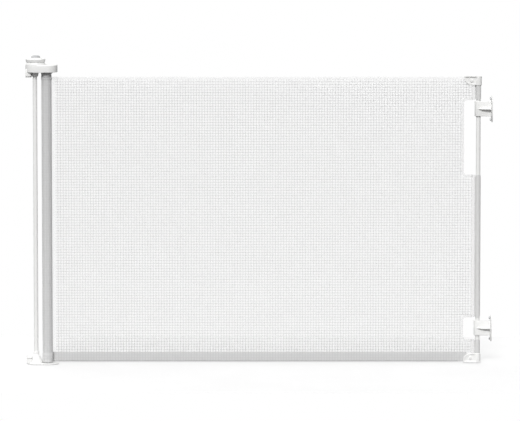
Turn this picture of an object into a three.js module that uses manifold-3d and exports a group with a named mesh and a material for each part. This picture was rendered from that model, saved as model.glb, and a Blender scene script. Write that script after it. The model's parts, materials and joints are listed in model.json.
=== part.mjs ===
// Retractable mesh safety gate for a doorway or a stair head. A roll of mesh stands in a wall
// housing on the left, and the mesh is drawn across to a bar that hooks into two wall catches.
// Millimetres. +X runs from the housing to the catches, +Y to the rear, +Z up from the floor.
// The origin is on the floor, midway between the two walls.
import * as THREE from 'three';
import { mergeVertices } from 'three/addons/utils/BufferGeometryUtils.js';
import Module from 'manifold-3d';

const wasm = await Module();
wasm.setup();

// ---- Overall sizes and places ----
const WALL_TO_WALL = 1369;
const MESH_HEIGHT = 842;
const MESH_BOTTOM = 5; // height of the mesh's lower edge over the floor

// ---- Clearances ----
const GAP = 0.3; // between pieces that touch or fit in one another
const RUN_GAP = 0.6; // between pieces that move on one another

// ---- Housing caps ----
const CAP_DEPTH = 59; // front to rear; the ends are half circles of this width
const CAP_LENGTH = 93.7;
const CAP_HEIGHT = 22;
const CAP_OVER_MESH = 15; // from the mesh's upper edge to the cap's underside
const CAP_WALL = 2.4;
const LID_THICKNESS = 2.4;
const SEAT_HEIGHT = 7; // sloped ring that the dial sits on
const SEAT_SLOPE = 3.7; // how far the ring draws in over its height
const BASE_THICKNESS = 3.4;
const BASE_PAST_ROLL = 33.3; // from the roll's axis to the base plate's right end
const BOSS_HEIGHT = 34.6;
const BOSS_FOOT_RADIUS = 19.5;
const BOSS_TOP_RADIUS = 8.6;
const BOSS_CHAMFER = { width: 1, height: 3 };
const COLLAR_DROP = 13; // how far the cap's collar reaches down the post
const COLLAR_TOP_RADIUS = 11.5;
const COLLAR_FOOT_RADIUS = 9;

// ---- Post ----
const POST_FROM_WALL = 27.5;
const POST_RADIUS = 6.3;
const POST_WALL = 1.2;
const POST_PLUG_LENGTH = 18;
const POST_OVER_BASE = 2.9; // from the base plate's top to the post's foot

// ---- Wall brackets of the housing ----
const TOP_BRACKET = { length: 17.7, depth: 34, height: 14.7, screwY: 11.5 };
const BASE_BRACKET = { length: 16, depth: 26, height: 18.3, screwY: 7.5 };
const TONGUE = { fromWall: 6, thickness: 6, width: 18, rise: 6 };

// ---- Roller and mesh ----
const ROLL_FROM_POST = 33.5;
const ROLL_RADIUS = 15.5;
const ROLL_HEM_RADIUS = 16.2;
const TUBE_RADIUS = 9.5;
const TUBE_WALL = 1.2;
const PLUG_LENGTH = 18;
const PLUG_FLANGE_THICKNESS = 2.2;
const TUBE_OVER_MESH_FOOT = 3; // from the mesh's lower edge to the tube's lower end
const TUBE_BELOW_MESH_TOP = 2;
const SPINDLE_RADIUS = 4;
const BUSHING_WALL = 1.8;
const BUSHING_FLANGE = { overhang: 2, drop: 1.8 };
const BUSHING_PAST_LID = 0.4;
const PIVOT_RADIUS = 5;
const PIVOT_HEIGHT = 17;
const SHAFT_SOCKET_DEPTH = 9;
const SHAFT_RADIUS = 2.5;
const SHAFT_TOP_BELOW_MESH = 327; // from the mesh's upper edge to the shaft's end
const SPRING_OVER_MESH_FOOT = 60; // from the mesh's lower edge to the spring's fixed end
const SPRING_COIL_RADIUS = 5.6;
const SPRING_WIRE_RADIUS = 0.8;
const SPRING_TURNS = 10;
const ANCHOR_BELOW_SHAFT_TOP = 12;
const SPRING_END_HEIGHT = 8; // of the pieces that hold the spring's two ends
const MESH_THICKNESS = 1;
const HEM_THICKNESS = 1.6;
const TOP_HEM_HEIGHT = 7;
const BOTTOM_HEM_HEIGHT = 28;

// ---- Bar end of the mesh ----
const BAR_FROM_WALL = 41;
const BAR_RADIUS = 6.5;
const BAR_WALL = 1.2;
const SLEEVE_THICKNESS = 0.95;
const STRIP_LENGTH = 56.6; // from the bar's axis to the joint with the mesh panel
const CUTOUT_DEPTH = 42; // from the bar's axis to the cutouts' and corner caps' left edge
const CUTOUT_CORNER = 9;
const UPPER_CUTOUT_HEIGHT = 220;
const UPPER_CUTOUT_BELOW_TOP = 68.5;
const LOWER_CUTOUT_HEIGHT = 65;
const LOWER_CUTOUT_OVER_MESH_FOOT = 66;
const CORNER_CAP = {
  height: 26.7, pastBar: 9.5, pastMesh: 1.7, depth: 19, slope: 23, floor: 3.4, round: 3, foot: 4,
};
const CORNER_SCREW = { fromBar: 20, fromFloor: 13, length: 17 };

// ---- Wall catches ----
const UPPER_CATCH_BELOW_TOP = 94; // from the mesh's upper edge to the hook's middle
const LOWER_CATCH_OVER_MESH_FOOT = 100; // from the mesh's lower edge to the hook's middle
const HOOK = { height: 44, clearance: 1.4, wall: 3, lip: 4 };
const FLANGE = { thickness: 5, depth: 44, height: 78, tipWidth: 16, tipDrop: 15 };
const RIB = { thickness: 4, depth: 13, shoulder: 7.2, pastBar: 8, beforeBar: 2 };
const CATCH_SCREW_INSET = 8; // from the flange's tips to its screws
const OVERLAP = 0.5; // how far joined shapes run into each other

// ---- Lock ----
const DIAL_RADIUS = 29.2;
const DIAL_HEIGHT = 10.7;
const DIAL_RIM = 2.7;
const DIAL_TOP_THICKNESS = 2.6;
const DIAL_EDGE = 1.8;
const HUB_RADIUS = 9;
const HUB_BORE = 5;
const BUTTON_RADIUS = 13.3;
const BUTTON_HEIGHT = 7.5;
const BUTTON_TRAVEL = 3;
const BUTTON_POCKET = 2.4;
const BUTTON_CLEARANCE = 0.4; // under the button's skirt when it is pressed
const BUTTON_SKIRT = { wall: 2.3, height: 2.5, depth: 4 };
const BUTTON_SPRING = { radius: 7.6, wire: 0.5, turns: 3 };
const STEM_RADIUS = 4.6;
const RATCHET_TEETH = 16;
const RATCHET_RADIUS = 15;
const RATCHET_DEPTH = 2.5;
const RATCHET_THICKNESS = 4;
const PAWL_THICKNESS = 3;
const PAWL_HUB_RADIUS = 4.2;
const PAWL_ARM_HALF_WIDTH = 2.6;
const PAWL_PIN_RADIUS = 2;
const PAWL_NOSE = { tipLift: 0.7, heelLift: 2.6, flankLift: 0.7 }; // over the ratchet's circles
const PAWL_NOSE_BACK = { tip: 0.03, flank: 0.17 }; // radians behind the nose's angle
const CAM_SLOT = { before: 3.2, after: 3, tail: 5, wall: 1.8 }; // about the cam pin
const PAWL_PIVOT = { x: -15.8, y: -20.6 }; // from the roll's axis
const DIAL_TURN = THREE.MathUtils.degToRad(60);
const CAM_RADIUS = 12;
const CAM_PIN_OFFSET = 6.5;
const CAM_PIN_RADIUS = 1.6;
const CAM_SLOT_PLAY = 0.5;
const CAM_FLOOR = 2;

// ---- Screws ----
const SCREW = { shank: 2, head: 3.8, headHeight: 2.4, slot: 1 };
const SMALL_SCREW = { shank: 1.3, head: 2.2, headHeight: 1.4, slot: 0.7 };

// ---- Fineness of round shapes ----
const FINE = 40;
const ROUND = 20;
const SMALL = 10;

// ---- Places worked out from the sizes above ----
const LEFT_WALL = -WALL_TO_WALL / 2;
const RIGHT_WALL = WALL_TO_WALL / 2;
const POST_X = LEFT_WALL + POST_FROM_WALL;
const ROLL_X = POST_X + ROLL_FROM_POST;
const BAR_X = RIGHT_WALL - BAR_FROM_WALL;
const MESH_Y = ROLL_HEM_RADIUS + GAP + HEM_THICKNESS / 2;
const MESH_TOP = MESH_BOTTOM + MESH_HEIGHT;
const CAP_BOTTOM = MESH_TOP + CAP_OVER_MESH;
const CAP_TOP = CAP_BOTTOM + CAP_HEIGHT;
const CAP_RIGHT = LEFT_WALL + CAP_LENGTH;
const LID_TOP = CAP_BOTTOM + LID_THICKNESS;
const SEAT_TOP = CAP_TOP + SEAT_HEIGHT;
const CAP_ROOF = CAP_TOP - CAP_WALL;
const DIAL_X = LEFT_WALL + CAP_DEPTH / 2;
const DIAL_BOTTOM = SEAT_TOP + GAP;
const DIAL_TOP = DIAL_BOTTOM + DIAL_HEIGHT;
const POCKET_FLOOR = DIAL_TOP - BUTTON_POCKET;
const BUTTON_BOTTOM = POCKET_FLOOR + BUTTON_TRAVEL + BUTTON_CLEARANCE;
const BUTTON_TOP = BUTTON_BOTTOM + BUTTON_HEIGHT;
const BOSS_TOP = BASE_THICKNESS + BOSS_HEIGHT;
const POST_BOTTOM = BASE_THICKNESS + POST_OVER_BASE;
const POST_TOP = CAP_BOTTOM - GAP;
const RATCHET_BOTTOM = LID_TOP + SCREW.headHeight + RUN_GAP;
const PAWL_BOTTOM = RATCHET_BOTTOM + (RATCHET_THICKNESS - PAWL_THICKNESS) / 2;
const CAM_BOTTOM = PAWL_BOTTOM + PAWL_THICKNESS + RUN_GAP;
const HUB_BOTTOM = CAM_BOTTOM + CAM_FLOOR + GAP;
const PAWL_X = ROLL_X + PAWL_PIVOT.x;
const PAWL_Y = PAWL_PIVOT.y;
const STRIP_LEFT = BAR_X - STRIP_LENGTH;
const CUTOUT_LEFT = BAR_X - CUTOUT_DEPTH;
const SLEEVE_BORE = BAR_RADIUS + GAP;
const LOWER_CAP_BOTTOM = MESH_BOTTOM - CORNER_CAP.pastMesh;
const UPPER_CAP_TOP = MESH_TOP + CORNER_CAP.pastMesh;
const BAR_BOTTOM = LOWER_CAP_BOTTOM + CORNER_CAP.floor + GAP;
const BAR_TOP = UPPER_CAP_TOP - CORNER_CAP.floor - GAP;
const UPPER_CUTOUT = {
  bottom: MESH_TOP - UPPER_CUTOUT_BELOW_TOP - UPPER_CUTOUT_HEIGHT,
  top: MESH_TOP - UPPER_CUTOUT_BELOW_TOP,
};
const LOWER_CUTOUT = {
  bottom: MESH_BOTTOM + LOWER_CUTOUT_OVER_MESH_FOOT,
  top: MESH_BOTTOM + LOWER_CUTOUT_OVER_MESH_FOOT + LOWER_CUTOUT_HEIGHT,
};
const CATCHES = {
  lower: MESH_BOTTOM + LOWER_CATCH_OVER_MESH_FOOT,
  upper: MESH_TOP - UPPER_CATCH_BELOW_TOP,
};
const SHAFT_TOP = MESH_TOP - SHAFT_TOP_BELOW_MESH;
const FLANGE_Y = CAP_DEPTH / 2 - FLANGE.depth / 2;
const HOOK_INNER = BAR_RADIUS + HOOK.clearance;
const HOOK_OUTER = HOOK_INNER + HOOK.wall;

// ---- Materials ----
const whitePlastic = { color: 0xf2f2f0, roughness: 0.42, metalness: 0 };
const whitePaint = { color: 0xf0f0ee, roughness: 0.3, metalness: 0.05 };
const whiteMesh = { color: 0xdcdcda, roughness: 0.9, metalness: 0 };
const buttonPlastic = { color: 0xc9cacb, roughness: 0.45, metalness: 0 };
const steel = { color: 0xa9abad, roughness: 0.35, metalness: 1 };
const innerPlastic = { color: 0x8d9093, roughness: 0.55, metalness: 0 };

const gate = new THREE.Group();

// ---- Shapes ----

// A closed THREE geometry as a solid that can be cut and joined.
function solidOf(shape) {
  if (shape instanceof wasm.Manifold) return shape;
  const bare = shape.clone();
  bare.deleteAttribute('normal');
  bare.deleteAttribute('uv');
  const merged = mergeVertices(bare, 1e-4);
  return new wasm.Manifold(
    new wasm.Mesh({
      numProp: 3,
      vertProperties: new Float32Array(merged.attributes.position.array),
      triVerts: new Uint32Array(merged.index.array),
    }),
  );
}

function geometryOf(solid) {
  const { vertProperties, triVerts, numProp } = solid.getMesh();
  const geometry = new THREE.BufferGeometry();
  const positions = new Float32Array((vertProperties.length / numProp) * 3);
  for (let i = 0; i < positions.length / 3; i += 1) {
    positions.set(vertProperties.subarray(i * numProp, i * numProp + 3), i * 3);
  }
  geometry.setAttribute('position', new THREE.BufferAttribute(positions, 3));
  geometry.setIndex(new THREE.BufferAttribute(new Uint32Array(triVerts), 1));
  geometry.computeVertexNormals();
  return geometry;
}

function cut(body, ...tools) {
  return tools.reduce((left, tool) => left.subtract(solidOf(tool)), solidOf(body));
}

function join(body, ...others) {
  return others.reduce((sum, other) => sum.add(solidOf(other)), solidOf(body));
}

function add(name, shape, material) {
  const geometry = shape instanceof wasm.Manifold ? geometryOf(shape) : shape;
  const mesh = new THREE.Mesh(geometry, new THREE.MeshStandardMaterial(material));
  mesh.name = name;
  gate.add(mesh);
}

function box([x0, x1], [y0, y1], [z0, z1]) {
  const geometry = new THREE.BoxGeometry(x1 - x0, y1 - y0, z1 - z0);
  return geometry.translate((x0 + x1) / 2, (y0 + y1) / 2, (z0 + z1) / 2);
}

// A profile of [radius, height] points turned about the upright axis at x, y. The profile runs
// counterclockwise, with radius to the right and height up.
function turned(profile, x = 0, y = 0, segments = ROUND) {
  const points = profile.map(([radius, height]) => new THREE.Vector2(radius, height));
  return new THREE.LatheGeometry(points, segments).rotateX(Math.PI / 2).translate(x, y, 0);
}

function rod(radius, [z0, z1], x, y, segments = ROUND) {
  return turned([[0, z0], [radius, z0], [radius, z1], [0, z1]], x, y, segments);
}

function ring(inner, outer, [z0, z1], x, y, segments = ROUND) {
  const profile = [[inner, z0], [outer, z0], [outer, z1], [inner, z1], [inner, z0]];
  return turned(profile, x, y, segments);
}

// An outline in X and Y raised from z0 to z1.
function raised(outline, [z0, z1], curveSegments = 12) {
  const settings = { depth: z1 - z0, bevelEnabled: false, curveSegments };
  return new THREE.ExtrudeGeometry(outline, settings).translate(0, 0, z0);
}

// An outline in X and Z carried from y0 to y1.
function carriedAlongY(outline, [y0, y1], curveSegments = 12) {
  const settings = { depth: y1 - y0, bevelEnabled: false, curveSegments };
  return new THREE.ExtrudeGeometry(outline, settings).rotateX(Math.PI / 2).translate(0, y1, 0);
}

// An outline in Y and Z carried from x0 to x1.
function carriedAlongX(outline, [x0, x1], curveSegments = 12) {
  const settings = { depth: x1 - x0, bevelEnabled: false, curveSegments };
  const turn = new THREE.Matrix4().makeBasis(
    new THREE.Vector3(0, 1, 0),
    new THREE.Vector3(0, 0, 1),
    new THREE.Vector3(1, 0, 0),
  );
  return new THREE.ExtrudeGeometry(outline, settings).applyMatrix4(turn).translate(x0, 0, 0);
}

// A plan with two straight sides and half-circle ends, from x0 to x1.
function stadium(x0, x1, radius) {
  const outline = new THREE.Shape();
  outline.absarc(x1 - radius, 0, radius, -Math.PI / 2, Math.PI / 2, false);
  outline.absarc(x0 + radius, 0, radius, Math.PI / 2, (3 * Math.PI) / 2, false);
  outline.closePath();
  return outline;
}

function polygon(points) {
  return new THREE.Shape(points.map(([x, y]) => new THREE.Vector2(x, y)));
}

// A wire of square section along a helix about the upright axis at x, y.
function helix(radius, wire, turns, [z0, z1], x, y, stepsPerTurn = 8) {
  const points = [];
  const steps = turns * stepsPerTurn;
  for (let i = 0; i <= steps; i += 1) {
    const angle = (i / stepsPerTurn) * 2 * Math.PI;
    const z = THREE.MathUtils.lerp(z0 + wire, z1 - wire, i / steps);
    points.push(new THREE.Vector3(x + radius * Math.cos(angle), y + radius * Math.sin(angle), z));
  }
  const section = polygon([[-wire, 0], [0, -wire], [wire, 0], [0, wire]]);
  const extrudePath = new THREE.CatmullRomCurve3(points);
  return new THREE.ExtrudeGeometry(section, { steps, bevelEnabled: false, extrudePath });
}

// ---- Screws ----

// Turns a shape that stands on the origin with its head up, so that its head faces a direction.
function aimed(shape, top, direction) {
  const turn = new THREE.Quaternion().setFromUnitVectors(
    new THREE.Vector3(0, 0, 1),
    new THREE.Vector3(...direction).normalize(),
  );
  return shape.applyQuaternion(turn).translate(...top);
}

// The place of a screw: top is the middle of its head, and length runs from there to its tip.
function screw(top, direction, length, size = SCREW) {
  return { top, direction, length, size };
}

function addScrew(name, { top, direction, length, size }) {
  const { shank, head, headHeight, slot } = size;
  const profile = [
    [0, -length], [shank, 0.8 - length], [shank, -headHeight], [head, -headHeight], [head, -0.5],
    [head - 0.6, 0], [0, 0],
  ];
  const groove = box([-head, head], [-slot / 2, slot / 2], [-slot, 1]);
  const body = cut(turned(profile, 0, 0, SMALL), groove);
  add(name, aimed(geometryOf(body), top, direction), steel);
}

// The hole that a screw passes through. A screw that ends inside keeps a gap at its tip.
function screwHole({ top, direction, length, size }, past = GAP) {
  const { shank, head, headHeight } = size;
  const profile = [
    [0, -length - past], [shank + GAP, -length - past], [shank + GAP, -headHeight - GAP],
    [head + GAP, -headHeight - GAP], [head + GAP, 20], [0, 20],
  ];
  return aimed(turned(profile, 0, 0, SMALL), top, direction);
}

// ---- Housing: wall brackets ----

function topBracketScrews() {
  const right = LEFT_WALL + TOP_BRACKET.length;
  const z = CAP_BOTTOM - GAP - TOP_BRACKET.height / 2;
  return [-1, 1].map((side) =>
    screw([right, side * TOP_BRACKET.screwY, z], [1, 0, 0], TOP_BRACKET.length));
}

function addTopBracket() {
  const { length, depth, height } = TOP_BRACKET;
  const top = CAP_BOTTOM - GAP;
  const block = box([LEFT_WALL, LEFT_WALL + length], [-depth / 2, depth / 2], [top - height, top]);
  const tongue = box(
    [LEFT_WALL + TONGUE.fromWall, LEFT_WALL + TONGUE.fromWall + TONGUE.thickness],
    [-TONGUE.width / 2, TONGUE.width / 2],
    [top - 1, LID_TOP + TONGUE.rise],
  );
  const screws = topBracketScrews();
  const holes = screws.map((one) => screwHole(one, 1));
  add('top_wall_bracket', cut(join(block, tongue), ...holes), whitePlastic);
  addScrew('top_bracket_screw_front', screws[0]);
  addScrew('top_bracket_screw_rear', screws[1]);
}

function baseBracketBox(gap) {
  const { length, depth, height } = BASE_BRACKET;
  const bottom = BASE_THICKNESS + GAP;
  return box(
    [LEFT_WALL - gap, LEFT_WALL + length + gap],
    [-depth / 2 - gap, depth / 2 + gap],
    [bottom - gap / 2, bottom + height + gap],
  );
}

function addBaseBracket() {
  const right = LEFT_WALL + BASE_BRACKET.length;
  const z = BASE_THICKNESS + GAP + BASE_BRACKET.height / 2;
  const screws = [-1, 1].map((side) =>
    screw([right, side * BASE_BRACKET.screwY, z], [1, 0, 0], BASE_BRACKET.length));
  const holes = screws.map((one) => screwHole(one, 1));
  add('bottom_wall_bracket', cut(baseBracketBox(0), ...holes), whitePlastic);
  addScrew('bottom_bracket_screw_front', screws[0]);
  addScrew('bottom_bracket_screw_rear', screws[1]);
}

// ---- Housing: top cap ----

const LID_SCREWS = [[DIAL_X - 8.6, 19], [ROLL_X + 15.2, -15]].map(([x, y]) =>
  screw([x, y, CAP_BOTTOM], [0, 0, -1], 14));

function addTopCap() {
  const radius = CAP_DEPTH / 2;
  const outer = raised(stadium(LEFT_WALL, CAP_RIGHT, radius), [CAP_BOTTOM, CAP_TOP], FINE / 2);
  const inside = stadium(LEFT_WALL + CAP_WALL, CAP_RIGHT - CAP_WALL, radius - CAP_WALL);
  const cavity = raised(inside, [CAP_BOTTOM - 1, CAP_ROOF], FINE / 2);
  const seat = turned(
    [[0, CAP_TOP - 1], [radius - GAP, CAP_TOP - 1], [radius - GAP, CAP_TOP],
      [radius - GAP - SEAT_SLOPE, SEAT_TOP], [0, SEAT_TOP]],
    DIAL_X, 0, FINE,
  );
  const posts = LID_SCREWS.map(({ top }) =>
    rod(SCREW.head, [LID_TOP + GAP, CAP_ROOF + 1], top[0], top[1], SMALL));
  const bore = rod(HUB_RADIUS + GAP, [CAP_ROOF - 1, SEAT_TOP + 1], DIAL_X, 0);
  const shell = cut(join(cut(outer, cavity), seat, ...posts), bore);
  add('top_cap_shell', cut(shell, ...LID_SCREWS.map((one) => screwHole(one))), whitePlastic);
}

function postTopScrew() {
  return screw([POST_X, 0, LID_TOP + SCREW.headHeight + GAP / 2], [0, 0, 1], 14);
}

function addTopCapLid() {
  const edge = CAP_WALL + GAP;
  const plan = stadium(LEFT_WALL + edge, CAP_RIGHT - edge, CAP_DEPTH / 2 - edge);
  const plate = raised(plan, [CAP_BOTTOM, LID_TOP], ROUND / 2);
  const collar = turned(
    [[0, CAP_BOTTOM - COLLAR_DROP], [COLLAR_FOOT_RADIUS, CAP_BOTTOM - COLLAR_DROP],
      [COLLAR_TOP_RADIUS, CAP_BOTTOM + 1], [0, CAP_BOTTOM + 1]],
    POST_X, 0,
  );
  const socket = rod(POST_RADIUS + GAP, [CAP_BOTTOM - COLLAR_DROP - 1, CAP_BOTTOM], POST_X, 0);
  const bushingHole = rod(
    SPINDLE_RADIUS + RUN_GAP + BUSHING_WALL + GAP, [CAP_BOTTOM - 1, LID_TOP + 1], ROLL_X, 0,
  );
  const tongueSlot = box(
    [LEFT_WALL + TONGUE.fromWall - GAP, LEFT_WALL + TONGUE.fromWall + TONGUE.thickness + GAP],
    [-TONGUE.width / 2 - GAP, TONGUE.width / 2 + GAP],
    [CAP_BOTTOM - 1, LID_TOP + 1],
  );
  const bracketRoom = box(
    [LEFT_WALL, LEFT_WALL + TOP_BRACKET.length + GAP],
    [-TOP_BRACKET.depth / 2 - GAP, TOP_BRACKET.depth / 2 + GAP],
    [CAP_BOTTOM - COLLAR_DROP - 1, CAP_BOTTOM],
  );
  const screwSpace = rod(
    SCREW.shank + GAP, [CAP_BOTTOM - 1, LID_TOP + 1], POST_X, 0, SMALL,
  );
  // the heads of the two screws sit on the lid's underside
  const screwWays = LID_SCREWS.map(({ top }) =>
    rod(SCREW.shank + GAP, [CAP_BOTTOM - 1, LID_TOP + 1], top[0], top[1], SMALL));
  add(
    'top_cap_lid',
    cut(join(plate, collar), socket, bushingHole, tongueSlot, bracketRoom, screwSpace, ...screwWays),
    whitePlastic,
  );
  LID_SCREWS.forEach(({ top, direction, length }, i) => {
    const lowered = [top[0], top[1], top[2] - SCREW.headHeight - GAP / 2];
    addScrew(`lid_screw_${['left', 'right'][i]}`, screw(lowered, direction, length));
  });
}

function addSpindleBushing() {
  const bore = SPINDLE_RADIUS + RUN_GAP;
  const outer = bore + BUSHING_WALL;
  const flangeRadius = outer + BUSHING_FLANGE.overhang;
  const flangeBottom = CAP_BOTTOM - BUSHING_FLANGE.drop;
  const top = LID_TOP + BUSHING_PAST_LID;
  const profile = [
    [bore, flangeBottom], [flangeRadius, flangeBottom], [flangeRadius, CAP_BOTTOM - GAP],
    [outer, CAP_BOTTOM - GAP], [outer, top], [bore, top], [bore, flangeBottom],
  ];
  add('spindle_bushing', turned(profile, ROLL_X, 0), innerPlastic);
}

// ---- Housing: post and base ----

function postBottomScrew() {
  return screw([POST_X, 0, 0.3], [0, 0, -1], 18);
}

function addPost() {
  add('support_post', ring(POST_RADIUS - POST_WALL, POST_RADIUS, [POST_BOTTOM, POST_TOP], POST_X, 0),
    whitePaint);
  const plugRadius = POST_RADIUS - POST_WALL - GAP;
  const topPlug = rod(plugRadius, [POST_TOP - POST_PLUG_LENGTH, POST_TOP], POST_X, 0);
  add('post_top_plug', cut(topPlug, screwHole(postTopScrew())), innerPlastic);
  const bottomPlug = rod(plugRadius, [POST_BOTTOM, POST_BOTTOM + POST_PLUG_LENGTH], POST_X, 0);
  add('post_bottom_plug', cut(bottomPlug, screwHole(postBottomScrew())), innerPlastic);
  addScrew('post_top_screw', postTopScrew());
  addScrew('post_bottom_screw', postBottomScrew());
}

function addBase() {
  const plan = stadium(LEFT_WALL, ROLL_X + BASE_PAST_ROLL, CAP_DEPTH / 2);
  const plate = raised(plan, [0, BASE_THICKNESS], ROUND / 2);
  const boss = turned(
    [[0, 1], [BOSS_FOOT_RADIUS, 1], [BOSS_FOOT_RADIUS, BASE_THICKNESS],
      [BOSS_TOP_RADIUS, BOSS_TOP - BOSS_CHAMFER.height],
      [BOSS_TOP_RADIUS - BOSS_CHAMFER.width, BOSS_TOP], [0, BOSS_TOP]],
    POST_X, 0, FINE,
  );
  const pivotBottom = BASE_THICKNESS - 1;
  const pivot = rod(PIVOT_RADIUS, [pivotBottom, BASE_THICKNESS + PIVOT_HEIGHT], ROLL_X, 0);
  const bracketRoom = baseBracketBox(GAP);
  const rollRoom = rod(ROLL_HEM_RADIUS + RUN_GAP, [BASE_THICKNESS, BOSS_TOP + 1], ROLL_X, 0, FINE);
  const postSocket = rod(POST_RADIUS + GAP, [POST_BOTTOM - GAP, BOSS_TOP + 1], POST_X, 0);
  const shaftSocket = rod(
    SHAFT_RADIUS + GAP,
    [BASE_THICKNESS + PIVOT_HEIGHT - SHAFT_SOCKET_DEPTH, BASE_THICKNESS + PIVOT_HEIGHT + 1],
    ROLL_X, 0, SMALL,
  );
  const housing = cut(join(plate, boss), rollRoom, bracketRoom, postSocket);
  add(
    'bottom_cap',
    cut(join(housing, pivot), shaftSocket, screwHole(postBottomScrew())),
    whitePlastic,
  );
}

// ---- Roller ----

function addRoller() {
  const plugRadius = TUBE_RADIUS - TUBE_WALL - GAP;
  const tubeBottom = MESH_BOTTOM + TUBE_OVER_MESH_FOOT;
  const tubeTop = MESH_TOP - TUBE_BELOW_MESH_TOP;
  add('roller_tube', ring(TUBE_RADIUS - TUBE_WALL, TUBE_RADIUS, [tubeBottom, tubeTop], ROLL_X, 0),
    steel);

  const flange = [tubeTop + GAP, tubeTop + GAP + PLUG_FLANGE_THICKNESS];
  const head = [MESH_TOP + GAP, CAP_BOTTOM - BUSHING_FLANGE.drop - RUN_GAP];
  const spindleTop = RATCHET_BOTTOM + RATCHET_THICKNESS + GAP;
  const topPlug = join(
    rod(plugRadius, [tubeTop - PLUG_LENGTH, flange[0] + OVERLAP], ROLL_X, 0),
    rod(TUBE_RADIUS, flange, ROLL_X, 0),
    rod(ROLL_RADIUS, head, ROLL_X, 0, 28),
    rod(SPINDLE_RADIUS, [flange[0], spindleTop], ROLL_X, 0),
  );
  add('roller_top_plug', cut(topPlug, screwHole(ratchetScrew())), innerPlastic);

  const bottomFlange = [tubeBottom - GAP - PLUG_FLANGE_THICKNESS, tubeBottom - GAP];
  const bottomPlug = join(
    rod(plugRadius, [bottomFlange[0], tubeBottom + PLUG_LENGTH], ROLL_X, 0),
    rod(TUBE_RADIUS, bottomFlange, ROLL_X, 0),
  );
  const bearing = rod(PIVOT_RADIUS + GAP, [0, tubeBottom + PLUG_LENGTH + 1], ROLL_X, 0);
  add('roller_bottom_plug', cut(bottomPlug, bearing), innerPlastic);
  add('pivot_washer',
    ring(PIVOT_RADIUS + GAP, TUBE_RADIUS, [BASE_THICKNESS + GAP, bottomFlange[0] - GAP], ROLL_X, 0),
    steel);

  addRetractionSpring(plugRadius);
  addMeshRoll();
}

function addRetractionSpring(plugRadius) {
  const shaftBottom = BASE_THICKNESS + PIVOT_HEIGHT - SHAFT_SOCKET_DEPTH + GAP;
  add('spring_shaft', rod(SHAFT_RADIUS, [shaftBottom, SHAFT_TOP], ROLL_X, 0, SMALL), steel);
  const anchorTop = SHAFT_TOP - ANCHOR_BELOW_SHAFT_TOP;
  const anchor = [anchorTop - SPRING_END_HEIGHT, anchorTop];
  add('spring_anchor', ring(SHAFT_RADIUS + GAP, plugRadius, anchor, ROLL_X, 0), innerPlastic);
  const low = MESH_BOTTOM + SPRING_OVER_MESH_FOOT;
  const arbor = [low - SPRING_END_HEIGHT, low];
  add('spring_arbor', ring(SHAFT_RADIUS + GAP, plugRadius - RUN_GAP, arbor, ROLL_X, 0),
    innerPlastic);
  const coils = [low + GAP, anchor[0] - GAP];
  add('retraction_spring',
    helix(SPRING_COIL_RADIUS, SPRING_WIRE_RADIUS, SPRING_TURNS, coils, ROLL_X, 0), steel);
}

function addMeshRoll() {
  const bore = TUBE_RADIUS + GAP;
  const hemTop = MESH_BOTTOM + BOTTOM_HEM_HEIGHT;
  const profile = [
    [bore, MESH_BOTTOM], [ROLL_HEM_RADIUS, MESH_BOTTOM], [ROLL_HEM_RADIUS, hemTop],
    [ROLL_RADIUS, hemTop], [ROLL_RADIUS, MESH_TOP - TOP_HEM_HEIGHT],
    [ROLL_HEM_RADIUS, MESH_TOP - TOP_HEM_HEIGHT], [ROLL_HEM_RADIUS, MESH_TOP], [bore, MESH_TOP],
    [bore, MESH_BOTTOM],
  ];
  add('mesh_roll', turned(profile, ROLL_X, 0, 28), whiteMesh);
}

// ---- Mesh panel ----

function addMeshPanel() {
  const run = [ROLL_X, STRIP_LEFT - GAP];
  const half = (thickness) => [MESH_Y - thickness / 2, MESH_Y + thickness / 2];
  const topHem = [MESH_TOP - TOP_HEM_HEIGHT, MESH_TOP];
  const bottomHem = [MESH_BOTTOM, MESH_BOTTOM + BOTTOM_HEM_HEIGHT];
  add('mesh_panel', box(run, half(MESH_THICKNESS), [bottomHem[1] + GAP, topHem[0] - GAP]),
    whiteMesh);
  add('mesh_top_hem', box(run, half(HEM_THICKNESS), topHem), whiteMesh);
  add('mesh_bottom_hem', box(run, half(HEM_THICKNESS), bottomHem), whiteMesh);
}

// ---- Bar end ----

// A cutout open towards the bar, with its two left corners rounded.
function cutout({ bottom, top }) {
  const outline = new THREE.Shape();
  const right = BAR_X + BAR_RADIUS + 5;
  const corner = CUTOUT_CORNER;
  outline.moveTo(right, bottom);
  outline.lineTo(right, top);
  outline.lineTo(CUTOUT_LEFT + corner, top);
  outline.absarc(CUTOUT_LEFT + corner, top - corner, corner, Math.PI / 2, Math.PI, false);
  outline.absarc(CUTOUT_LEFT + corner, bottom + corner, corner, Math.PI, 1.5 * Math.PI, false);
  outline.closePath();
  return carriedAlongY(outline, [MESH_Y - 12, MESH_Y + 12], 6);
}

function cornerScrews() {
  const { fromBar, fromFloor, length } = CORNER_SCREW;
  const x = BAR_X - fromBar;
  const rear = MESH_Y + CORNER_CAP.depth / 2;
  return {
    bar_bottom_cap: screw([x, rear, LOWER_CAP_BOTTOM + fromFloor], [0, 1, 0], length),
    bar_top_cap: screw([x, rear, UPPER_CAP_TOP - fromFloor], [0, 1, 0], length),
  };
}

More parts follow.
